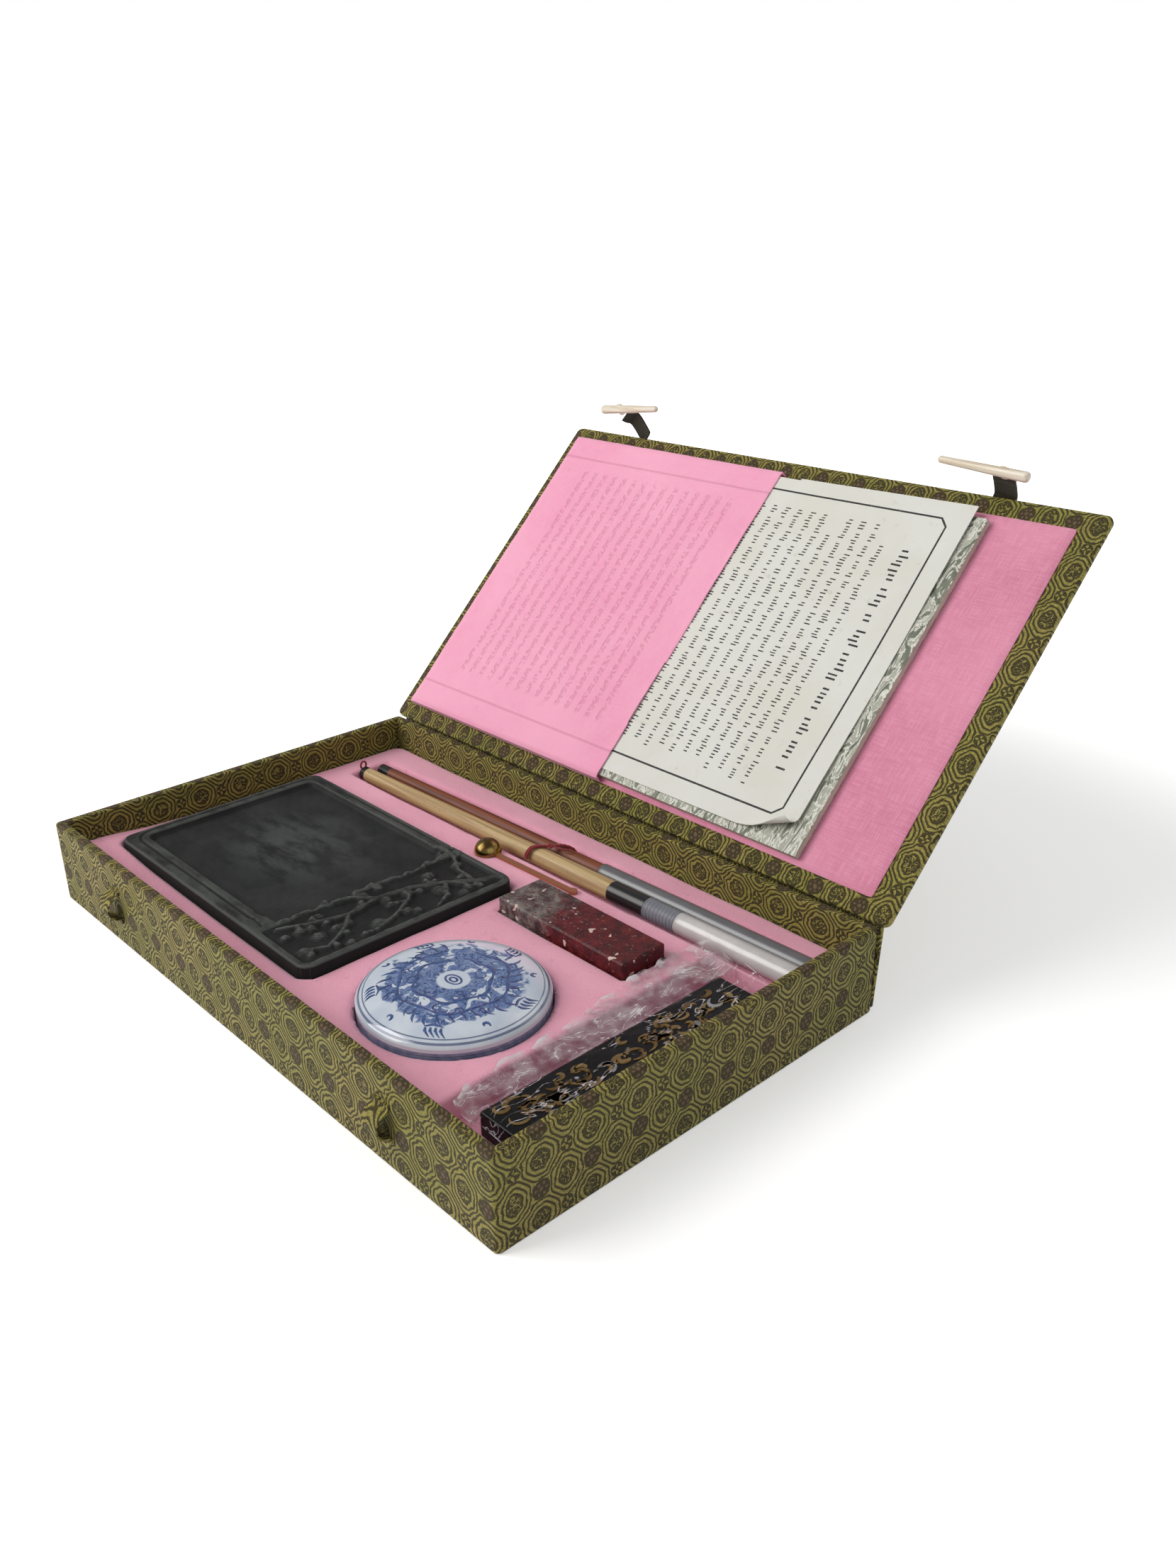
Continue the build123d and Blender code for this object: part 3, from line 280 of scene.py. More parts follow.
class SocketKind(Enum):
    """Kinds of socket on a node group."""

    NUMBER = "NodeSocketFloat"
    VECTOR = "NodeSocketVector"


class EffectGroup:
    """A shader node group that several finishes share."""

    name = ""
    takes: dict[str, SocketKind] = {"Vector": SocketKind.VECTOR}
    gives: tuple[str, ...] = ()

    def tree(self) -> bpy.types.NodeTree:
        """Builds the group once and returns it."""
        found = bpy.data.node_groups.get(self.name)
        if found:
            return found
        made = bpy.data.node_groups.new(self.name, "ShaderNodeTree")
        for title, kind in self.takes.items():
            made.interface.new_socket(title, in_out="INPUT", socket_type=kind.value)
        for title in self.gives:
            made.interface.new_socket(title, in_out="OUTPUT", socket_type=SocketKind.NUMBER.value)
        graph = Graph(made)
        start = graph.node("NodeGroupInput")
        given = {socket.name: Value(graph, socket) for socket in start.outputs}
        graph.node("NodeGroupOutput", self.wire(graph, given))
        return made

    def wire(self, graph: Graph, given: dict[str, Value]) -> Looks:
        """Adds the group's nodes and gives the values for its outputs, by name."""
        raise NotImplementedError


class Mottle(EffectGroup):
    """Broad uneven tone with finer specks over it."""

    name = "mottle"
    takes = {"Vector": SocketKind.VECTOR, "Size": SocketKind.NUMBER}
    gives = ("Cloud", "Speck")

    def wire(self, graph: Graph, given: dict[str, Value]) -> Looks:
        """Adds a soft cloud and a speck mask, sized in millimetres."""
        place = graph.value(0, "ShaderNodeVectorMath", {
            0: given["Vector"], "Scale": 1.0 / given["Size"]}, operation="SCALE")
        return {"Cloud": graph.smooth(graph.noise(place, 1.0, 4.0, 0.55, 0.3), 0.3, 0.72),
                "Speck": graph.smooth(graph.noise(place, 9.0, 2.0, 0.6), 0.62, 0.8)}


class PlainWeave(EffectGroup):
    """Plain woven threads with slubs."""

    name = "plain_weave"
    takes = {"Vector": SocketKind.VECTOR, "Pitch": SocketKind.NUMBER}
    gives = ("Height", "Tone")
    slub_across = 2.2
    slub_along = 0.12

    def wire(self, graph: Graph, given: dict[str, Value]) -> Looks:
        """Adds warp and weft ridges and uneven threads."""
        x, y, _ = graph.split(given["Vector"])
        turn = math.tau / given["Pitch"]
        crossing = graph.math("SINE", x * turn) * graph.math("SINE", y * turn)
        wide, fine = self.slub_along, self.slub_across
        slubs = (graph.noise(graph.join(x * fine, y * wide, 0.0), 1.0, 1.0)
                 + graph.noise(graph.join(x * wide, y * fine, 5.0), 1.0, 1.0))
        return {"Height": crossing * 0.5 + 0.5, "Tone": slubs * 0.5}


class LongGrain(EffectGroup):
    """Fibres that run along one direction."""

    name = "long_grain"
    gives = ("Fibre", "Streak")

    def wire(self, graph: Graph, given: dict[str, Value]) -> Looks:
        """Adds fine fibres and wider streaks along X."""
        fine = graph.noise(graph.scaled(given["Vector"], (0.05, 3.2, 3.2)), 1.0, 3.0, 0.6)
        wide = graph.noise(graph.scaled(given["Vector"], (0.02, 0.7, 0.7)), 1.0, 2.0, 0.5)
        return {"Fibre": fine, "Streak": graph.smooth(wide, 0.35, 0.7)}


class TortoiseBrocade(EffectGroup):
    """Woven ground of eight-sided cells, round flowers and small sprigs."""

    name = "tortoise_brocade"
    gives = ("Line", "Flower", "Petal", "Height")
    wide = 19.3
    high = 20.4
    line_step = 1.62

    def offsets(self, graph: Graph, x: Value, y: Value, at: Pair) -> tuple[Value, Value]:
        """Gives the signed distances to the nearest repeat of a site in the figure."""
        half_x, half_y = self.wide / 2, self.high / 2
        return (graph.math("WRAP", x - at[0] * self.wide, half_x, -half_x),
                graph.math("WRAP", y - at[1] * self.high, half_y, -half_y))

    def eight_sided(self, graph: Graph, dx: Value, dy: Value, shape: Triple) -> Value:
        """Gives a distance with eight-sided contours, by weights of X, Y and slant."""
        ax, ay = abs(dx), abs(dy)
        return graph.math("SMOOTH_MAX", ax * shape[0] | ay * shape[1], (ax + ay) * shape[2], 1.1)

    def wire(self, graph: Graph, given: dict[str, Value]) -> Looks:
        """Adds the cells, their inner figures, the flowers and the sprigs."""
        cloth = given["Vector"]
        x, y, _ = graph.split(cloth)
        sway = graph.noise(cloth, 0.33, 2.0)
        x = (sway - 0.5) * 2.1 + x
        y = (0.5 - sway) * 1.8 + y
        round_cell = self.eight_sided(graph, *self.offsets(graph, x, y, (0.0, 0.5)),
                                      (0.98, 1.0, 0.72))
        tall_cell = self.eight_sided(graph, *self.offsets(graph, x, y, (0.5, 0.0)),
                                     (1.12, 0.86, 0.72))
        cell = graph.math("MINIMUM", round_cell, tall_cell)
        mx, my = self.offsets(graph, x, y, (0.0, 0.0))
        cx, cy = self.offsets(graph, x, y, (0.5, 0.5))
        flower, sprig = graph.away(mx, my), graph.away(cx, cy)
        ridge = abs(graph.math("FRACT", cell / self.line_step) - 0.5)
        contour = graph.smooth(ridge, 0.38, 0.2)
        for value, low, high in ((cell, 3.1, 3.4), (flower, 3.2, 3.5), (sprig, 2.2, 2.5)):
            contour = contour * graph.smooth(value, low, high)
        scribble = graph.smooth(abs(graph.noise(cloth, 0.62, 1.0) - 0.5), 0.06, 0.02)
        heart = scribble * graph.smooth(cell, 3.0, 2.7)
        star = graph.math("COSINE", graph.math("ARCTAN2", my, mx) * 6.0)
        petal = graph.smooth(star * -0.5 + abs(flower - 1.9), 0.3, -0.1)
        petal = petal | graph.smooth(flower, 0.9, 0.6)
        lean = graph.math("COSINE", graph.math("ARCTAN2", cy, cx) * 4.0)
        leaf = graph.smooth(lean * -0.85 + sprig, 1.3, 0.9) * graph.smooth(sprig, 0.35, 0.7)
        thread = graph.noise(graph.scaled(cloth, (1.0, 6.0, 1.0)), 0.9, 2.0, 0.6)
        line = (contour | heart | leaf) * graph.smooth(thread, 0.24, 0.48)
        rib = graph.math("SINE", (y + x) * 9.0)
        return {"Line": line, "Flower": graph.smooth(flower, 3.1, 2.8), "Petal": petal,
                "Height": rib * 0.12 + (line | petal * 0.8)}


MOTTLE = Mottle()
PLAIN_WEAVE = PlainWeave()
LONG_GRAIN = LongGrain()
TORTOISE_BROCADE = TortoiseBrocade()


# ---- finishes


@dataclass(frozen=True)
class Finish:
    """A surface finish that makes one material."""

    name: str
    slot: str
    coords: Coords = Coords.OBJECT

    def material(self) -> bpy.types.Material:
        """Makes the material once and returns it."""
        found = bpy.data.materials.get(self.name)
        if found:
            return found
        made = bpy.data.materials.new(self.name)
        made.use_nodes = True
        made.node_tree.nodes.clear()
        graph = Graph(made.node_tree)
        shader = graph.node("ShaderNodeBsdfPrincipled", self.paint(graph, self.place(graph)))
        graph.node("ShaderNodeOutputMaterial", {"Surface": Value(graph, shader.outputs[0])})
        return made

    def place(self, graph: Graph) -> Value:
        """Gives the surface's coordinates in millimetres."""
        if self.coords is Coords.PLAN:
            return graph.value("Vector", "ShaderNodeAttribute", attribute_name=PLAN)
        source = graph.value("Object", "ShaderNodeTexCoord")
        return graph.scaled(source, (1 / MM, 1 / MM, 1 / MM))

    def paint(self, graph: Graph, place: Value) -> Looks:
        """Adds the finish's nodes and gives the shader's inputs, by name."""
        raise NotImplementedError


@dataclass(frozen=True)
class Brocade(Finish):
    """Olive and brown figured cloth."""

    coords: Coords = Coords.PLAN
    ground: Colour = srgb(50, 43, 20)
    lit_ground: Colour = srgb(92, 82, 38)
    thread: Colour = srgb(148, 143, 56)
    lit_thread: Colour = srgb(196, 186, 112)
    gold: Colour = srgb(164, 146, 74)
    plum: Colour = srgb(66, 54, 32)
    mauve: Colour = srgb(132, 106, 80)

    def paint(self, graph: Graph, place: Value) -> Looks:
        """Colours the threads, paints sheen on them in patches and raises the figure."""
        figure = graph.group(TORTOISE_BROCADE, Vector=place)
        # Painted sheen: broad patches where the threads turn gold, and small lit patches of thread
        # and ground, stand in for light catching the satin.
        paler = graph.group(MOTTLE, Vector=place, Size=46.0)
        lit = graph.noise(place, 2.1, 2.0, 0.7)
        thread = graph.layers(self.thread, (paler["Cloud"], self.gold),
                              (graph.smooth(lit, 0.5, 0.74), self.lit_thread))
        ground = graph.mix(graph.smooth(lit, 0.42, 0.7), self.ground, self.lit_ground)
        base = graph.layers(ground, (figure["Flower"] * 0.7, self.plum),
                            (figure["Petal"] * 0.6, self.mauve), (figure["Line"], thread))
        return {"Base Color": base, "Roughness": graph.span(figure["Line"], 0.75, 0.48),
                "Normal": graph.bump(figure["Height"], 0.0003), "Sheen Weight": 0.04,
                "Specular IOR Level": 0.3}


@dataclass(frozen=True)
class PinkCloth(Finish):
    """Fine pink lining cloth."""

    coords: Coords = Coords.PLAN
    light: Colour = srgb(246, 166, 192)
    deep: Colour = srgb(234, 148, 172)
    slub: Colour = srgb(250, 186, 204)
    speck: Colour = srgb(196, 104, 124)
    imprint: bool = False

    def paint(self, graph: Graph, place: Value) -> Looks:
        """Weaves the cloth and fades it in patches."""
        weave = graph.group(PLAIN_WEAVE, Vector=place, Pitch=0.62)
        faded = graph.group(MOTTLE, Vector=place, Size=58.0)
        slub = graph.smooth(weave["Tone"], 0.42, 0.62)
        base = graph.layers(self.deep, (faded["Cloud"], self.light), (slub * 0.45, self.slub),
                            (faded["Speck"] * 0.12, self.speck))
        normal = graph.bump(weave["Height"], 0.00007)
        if self.imprint:
            pressed = self.pressed(graph, place)
            base = graph.mix(pressed * 0.3, base, srgb(214, 118, 148))
            normal = graph.bump(pressed, -0.0004, 0.7, normal)
        return {"Base Color": base, "Roughness": graph.span(weave["Tone"], 0.72, 0.92),
                "Normal": normal, "Sheen Weight": 0.2, "Specular IOR Level": 0.2}

    def pressed(self, graph: Graph, place: Value) -> Value:
        """Gives a mask of faint lines of print pressed through from a leaflet below."""
        x, y, _ = graph.split(place)
        rows = graph.smooth(graph.math("COSINE", x * (math.tau / ROW_PITCH)), 0.1, 0.6)
        marks = graph.noise(graph.scaled(place, (0.5, 0.62, 1.0)), 1.0, 1.0)
        inside = (graph.smooth(abs(x + 66.0), 52.0, 48.0)
                  * graph.smooth(abs(y - 88.0), 59.0, 56.0))
        frame_line = graph.smooth(abs(abs(y - 86.0) - 66.0), 0.55, 0.2)
        return rows * graph.smooth(marks, 0.46, 0.56) * inside | frame_line


@dataclass(frozen=True)
class Flock(Finish):
    """Pink flocked block with short pile."""

    light: Colour = srgb(242, 164, 188)
    deep: Colour = srgb(226, 142, 168)
    tip: Colour = srgb(246, 176, 198)
    rubbed: Colour = srgb(184, 96, 116)

    def paint(self, graph: Graph, place: Value) -> Looks:
        """Speckles the pile and darkens rubbed patches."""
        nap = graph.noise(place, 2.6, 3.0, 0.65)
        patch = graph.group(MOTTLE, Vector=place, Size=34.0)
        base = graph.layers(self.deep, (patch["Cloud"], self.light),
                            (graph.smooth(nap, 0.38, 0.7), self.tip),
                            (patch["Speck"] * 0.35, self.rubbed))
        return {"Base Color": base, "Roughness": graph.span(nap, 0.85, 1.0),
                "Normal": graph.bump(nap, 0.00025), "Sheen Weight": 0.4,
                "Sheen Roughness": 0.6, "Specular IOR Level": 0.1}


@dataclass(frozen=True)
class Slate(Finish):
    """Dark carved ink slab with a rubbed well."""

    dark: Colour = srgb(28, 29, 30)
    cloud: Colour = srgb(46, 47, 47)
    grey: Colour = srgb(72, 77, 75)
    rim: Colour = srgb(80, 84, 78)
    paler: Colour = srgb(94, 97, 95)
    black: Colour = srgb(12, 12, 13)
    carved_from: float = -19.0

    def paint(self, graph: Graph, place: Value) -> Looks:
        """Greys the rims and the rubbed well, pales the convex edges, and paints shade in black
        into the carving's sunken ground and low parts, onto the steep walls and into the concave
        creases.
        """
        smooth = graph.smooth
        stone = graph.group(MOTTLE, Vector=place, Size=22.0)
        grain = graph.noise(place, 1.8, 4.0, 0.7)
        x, y, z = graph.split(place)
        far = graph.away((x + 74.0) / 44.0, (y + 14.0) / 32.0)
        drift = graph.noise(graph.scaled(place, (0.05, 0.13, 0.1)), 1.0, 5.0, 0.62)
        rubbed = smooth(far, 1.15, 0.2) * smooth(drift, 0.4, 0.62)
        rim = smooth(z, 24.75, 25.05) * smooth(drift, 0.3, 0.6)
        carved = smooth(x, self.carved_from, self.carved_from + 2.0)
        # Painted shade: the carving's sunken ground and its lowest parts are darkened towards
        # black.
        deep = carved * smooth(z, 24.4, 23.7) | smooth(z, 23.3, 22.3)
        edge = graph.value("Pointiness", "ShaderNodeNewGeometry")
        upright = graph.split(graph.value("Normal", "ShaderNodeTexCoord"))[2]
        # Painted shade: steep walls below the rim go black.
        walls = smooth(upright, 0.75, 0.3) * smooth(z, 24.9, 24.3)
        base = graph.layers(
            self.dark, (stone["Cloud"], self.cloud), (rubbed * 0.8, self.grey),
            (rim * 0.7, self.rim), (carved * deep * 0.55, self.black),
            # Convex edges turn paler; concave creases get painted shade in black.
            (smooth(edge, 0.51, 0.57) * 0.75, self.paler), (walls * 0.92, self.black),
            (smooth(edge, 0.49, 0.43) * 0.7, self.black), (stone["Speck"] * 0.3, self.black))
        return {"Base Color": base, "Roughness": graph.span(grain, 0.5, 0.8),
                "Normal": graph.bump(grain, 0.00018), "Specular IOR Level": 0.25}


@dataclass(frozen=True)
class SealStone(Finish):
    """Soapstone that runs from mottled grey to dark red, with pale flecks."""

    def paint(self, graph: Graph, place: Value) -> Looks:
        """Blends the two stones across the block and scatters flecks."""
        noise, smooth = graph.noise, graph.smooth
        along = graph.split(place)[0] + noise(place, 0.16, 5.0, 0.65, 1.2) * 40.0
        cloud = graph.group(MOTTLE, Vector=place, Size=4.6)["Cloud"]
        grey = graph.layers(srgb(44, 38, 38), (cloud, srgb(128, 122, 116)),
                            (smooth(noise(place, 0.75, 3.0), 0.52, 0.68), srgb(88, 36, 38)))
        brown = graph.mix(cloud, srgb(58, 12, 16), srgb(104, 30, 32))
        fleck = smooth(noise(place, 0.8, 3.0, 0.6, 0.8), 0.62, 0.72)
        chip = smooth(noise(place, 0.3, 1.0, 0.5, 0.5), 0.695, 0.72)
        base = graph.layers(grey, (smooth(along, 60.0, 72.0), brown),
                            (fleck * 0.8, srgb(178, 142, 132)), (chip, srgb(206, 184, 174)))
        return {"Base Color": base, "Roughness": graph.span(cloud, 0.3, 0.5),
                "Normal": graph.bump(noise(place, 0.9, 3.0), 0.0004),
                "Specular IOR Level": 0.3}


@dataclass(frozen=True)
class Porcelain(Finish):
    """White glaze with a faint blue cast."""

    glaze: Colour = srgb(214, 221, 230)
    pool: Colour = srgb(192, 203, 218)
    band: Colour = srgb(88, 104, 142)
    wash: Colour = srgb(64, 98, 158)
    stroke: Colour = srgb(30, 54, 108)
    centre: Pair = (58.0, -34.98)
    painted: bool = False

    def paint(self, graph: Graph, place: Value) -> Looks:
        """Pools the glaze, washes in the blue and bands the two rims."""
        pool = graph.group(MOTTLE, Vector=place, Size=14.0)["Cloud"]
        x, y, z = graph.split(place)
        band = graph.smooth(z, 22.75, 22.4) * graph.smooth(z, 19.4, 19.7)
        uneven = graph.span(graph.noise(place, 0.4, 2.0), 0.55, 1.1)
        coats = [(pool, self.glaze), (band * uneven, self.band)]
        if self.painted:
            far = graph.away(x - self.centre[0], y - self.centre[1])
            coats += self.washes(graph, place, far, uneven)
        return {"Base Color": graph.layers(self.pool, *coats),
                "Roughness": graph.span(pool, 0.08, 0.16),
                "Normal": graph.bump(graph.noise(place, 0.12, 2.0), 0.0001, 0.6),
                "Coat Weight": 0.5, "Coat Roughness": 0.06}

    def washes(self, graph: Graph, place: Value, far: Value, uneven: Value,
               ) -> list[tuple[Value, Colour]]:
        """Paints the ring of clouds, its fine scrolls and the rim lines.

        Args:
            graph: Where the nodes go.
            place: Coordinates in millimetres.
            far: Distance from the lid's middle.
            uneven: Strength of the wash from place to place.

        Returns:
            The masks and the colours of the coats.
        """
        smooth = graph.smooth
        patchy = graph.noise(place, 0.11, 2.0, 0.5, 0.5)
        ring = smooth((patchy - 0.5) * 16.0 + far, 23.4, 22.0) * smooth(far, 5.2, 6.0)
        cloud = ring * smooth(graph.noise(place, 0.19, 2.0, 0.5, 1.2), 0.37, 0.43)
        vein = abs(graph.noise(place, 0.34, 1.0, 0.5, 1.4) - 0.5)
        line = smooth(vein, 0.055, 0.025) * cloud
        rims = smooth(abs(far - 31.3), 0.42, 0.26) | smooth(abs(far - 29.9), 0.3, 0.16)
        return [(cloud * uneven, self.wash), (line * 0.85, self.stroke),
                (rims * 0.75, self.stroke)]


@dataclass(frozen=True)
class PlainSheet(Finish):
    """Paper or card with stains and fibres."""

    sheet: Colour = srgb(226, 226, 220)
    stain: Colour = srgb(210, 204, 186)
    speck: Colour = srgb(168, 140, 96)
    stained: float = 0.5
    grain_size: float = 40.0

    def paint(self, graph: Graph, place: Value) -> Looks:
        """Adds stains, specks and a paper tooth."""
        stain = graph.group(MOTTLE, Vector=place, Size=self.grain_size)
        base = graph.layers(self.sheet, (stain["Cloud"] * self.stained, self.stain),
                            (stain["Speck"] * 0.25, self.speck))
        tooth = graph.noise(place, 3.0, 3.0)
        return {"Base Color": base, "Roughness": graph.span(tooth, 0.7, 0.9),
                "Normal": graph.bump(tooth, 0.00004), "Specular IOR Level": 0.25}


@dataclass(frozen=True)
class PageEdges(Finish):
    """A block of thin sheets seen from its sides."""

    lean: Pair = (0.712, 0.702)  # cosine and sine of the lid's slope

    def paint(self, graph: Graph, place: Value) -> Looks:
        """Draws the sheets' edges as fine lines along the block."""
        _, y, z = graph.split(place)
        rise = z * self.lean[0] - y * self.lean[1]
        leaves = graph.math("SINE", (rise + graph.noise(place, 0.08, 2.0) * 0.7) * 16.0)
        stain = graph.group(MOTTLE, Vector=place, Size=20.0)
        base = graph.layers(srgb(224, 216, 196), (stain["Cloud"], srgb(212, 196, 184)),
                            (graph.smooth(leaves, 0.1, 0.9) * 0.45, srgb(138, 124, 104)))
        return {"Base Color": base, "Roughness": graph.span(leaves, 0.7, 0.9),
                "Normal": graph.bump(leaves, 0.00008)}


@dataclass(frozen=True)
class Grained(Finish):
    """Wood, bamboo or bone with grain along X."""

    light: Colour = srgb(206, 170, 112)
    dark: Colour = srgb(178, 138, 82)
    rough: Pair = (0.32, 0.5)
    coat: float = 0.2
    smudge: float = 0.0

    def paint(self, graph: Graph, place: Value) -> Looks:
        """Runs fibres along the piece, with darker streaks and smudges."""
        grain = graph.group(LONG_GRAIN, Vector=place)
        marks = graph.group(MOTTLE, Vector=place, Size=12.0)
        fibre = graph.smooth(grain["Fibre"], 0.35, 0.75)
        base = graph.layers(self.light, (grain["Streak"], self.dark), (fibre * 0.35, self.dark),
                            (marks["Speck"] * self.smudge, srgb(92, 84, 80)))
        return {"Base Color": base, "Roughness": graph.span(grain["Fibre"], *self.rough),
                "Normal": graph.bump(grain["Fibre"], 0.00005), "Coat Weight": self.coat,
                "Coat Roughness": 0.25}


@dataclass(frozen=True)
class Moulded(Finish):
    """Opaque plastic or lacquer with fine scratches."""

    colour: Colour = srgb(24, 24, 25)
    dull: Colour = srgb(44, 44, 45)
    rough: Pair = (0.22, 0.42)
    relief: float = 0.00003
    gloss: float = 0.5

    def paint(self, graph: Graph, place: Value) -> Looks:
        """Scuffs the surface."""
        scuff = graph.group(MOTTLE, Vector=place, Size=7.0)["Cloud"]
        return {"Base Color": graph.mix(scuff * 0.5, self.colour, self.dull),
                "Roughness": graph.span(scuff, *self.rough),
                "Normal": graph.bump(graph.noise(place, 1.2, 3.0), self.relief),
                "Specular IOR Level": self.gloss}


@dataclass(frozen=True)
class ClearFilm(Finish):
    """Clear plastic whose edges and creases catch the light."""

    tint: Colour = srgb(222, 224, 226)
    light: Colour = srgb(240, 240, 242)
    alpha: Pair = (0.16, 0.8)
    rough: float = 0.1
    crease: float = 0.0
    rim: float = 2.2
    relief: float = 0.00005
    coat_rough: float = 0.16
    veil: float = 0.06
    veil_span: Pair = (900.0, 800.0)

    def paint(self, graph: Graph, place: Value) -> Looks:
        """Thickens the film towards grazing angles, and paints highlights along creases as paler,
        more opaque film.
        """
        smooth = graph.smooth
        facing = graph.value("Facing", "ShaderNodeLayerWeight", {"Blend": 0.3})
        point = graph.value("Pointiness", "ShaderNodeNewGeometry")
        broken = graph.noise(place, 0.16, 3.0, 0.6)
        drawn = graph.noise(graph.scaled(place, (1.0, 0.26, 1.0)), 0.2, 3.0, 0.5, 0.6)
        x, y, _ = graph.split(place)
        near = smooth(y, -34.0, -58.0) * 0.35
        # Painted highlights: drawn streaks and sharp creases turn more opaque in the pale tint,
        # standing in for glints along the film.
        fold = smooth(abs(drawn - 0.5), 0.011, 0.0) * (near | smooth(broken, 0.45, 0.6))
        sharp = smooth(point, 0.53, 0.6) * smooth(broken, 0.42, 0.55)
        share = graph.math("POWER", facing, self.rim) | (fold | sharp) * self.crease
        veil = smooth(x, *self.veil_span) * self.veil
        share = smooth(broken, 0.3, 0.8) * veil + share
        return {"Alpha": graph.span(share, *self.alpha),
                "Base Color": graph.mix(broken, self.tint, self.light),
                "Roughness": graph.span(broken, self.rough, self.rough + 0.08),
                "Normal": graph.bump(broken, self.relief), "Specular IOR Level": 0.9,
                "Coat Weight": 1.0, "Coat Roughness": self.coat_rough}


@dataclass(frozen=True)
class Metal(Finish):
    """Polished or flat metal with tarnish."""

    bright: Colour = srgb(206, 172, 92)
    tarnish: Colour = srgb(112, 84, 44)
    rough: Pair = (0.14, 0.4)

    def paint(self, graph: Graph, place: Value) -> Looks:
        """Tarnishes the metal in patches."""
        patch = graph.group(MOTTLE, Vector=place, Size=6.0)["Cloud"]
        return {"Base Color": graph.mix(patch, self.bright, self.tarnish),
                "Roughness": graph.span(patch, *self.rough),
                "Normal": graph.bump(graph.noise(place, 1.0, 3.0), 0.00004), "Metallic": 1.0}


@dataclass(frozen=True)
class Streaked(Finish):
    """Hair, thread, print or paint whose tone follows one stretched noise."""

    dark: Colour = srgb(196, 188, 178)
    light: Colour = srgb(240, 236, 230)
    stretch: Triple = (1.0, 1.0, 1.0)
    grain: tuple[float, ...] = (1.0, 3.0)  # scale, detail, roughness and distortion
    tone: Pair = (0.3, 0.7)
    rough: Pair = (0.4, 0.6)
    relief: float = 0.0
    sheen: float = 0.0
    coat: Pair = (0.0, 0.03)
    vein: Colour | None = None

    def paint(self, graph: Graph, place: Value) -> Looks:
        """Draws the streaks, and pale veins where the finish has them."""
        streak = graph.noise(graph.scaled(place, self.stretch), *self.grain)
        base = graph.mix(graph.smooth(streak, *self.tone), self.dark, self.light)
        if self.vein:
            base = graph.mix(graph.smooth(abs(streak - 0.5), 0.06, 0.0), base, self.vein)
        looks = {"Base Color": base, "Roughness": graph.span(streak, *self.rough),
                 "Sheen Weight": self.sheen, "Coat Weight": self.coat[0],
                 "Coat Roughness": self.coat[1]}
        if self.relief:
            looks["Normal"] = graph.bump(streak, self.relief)
        return looks


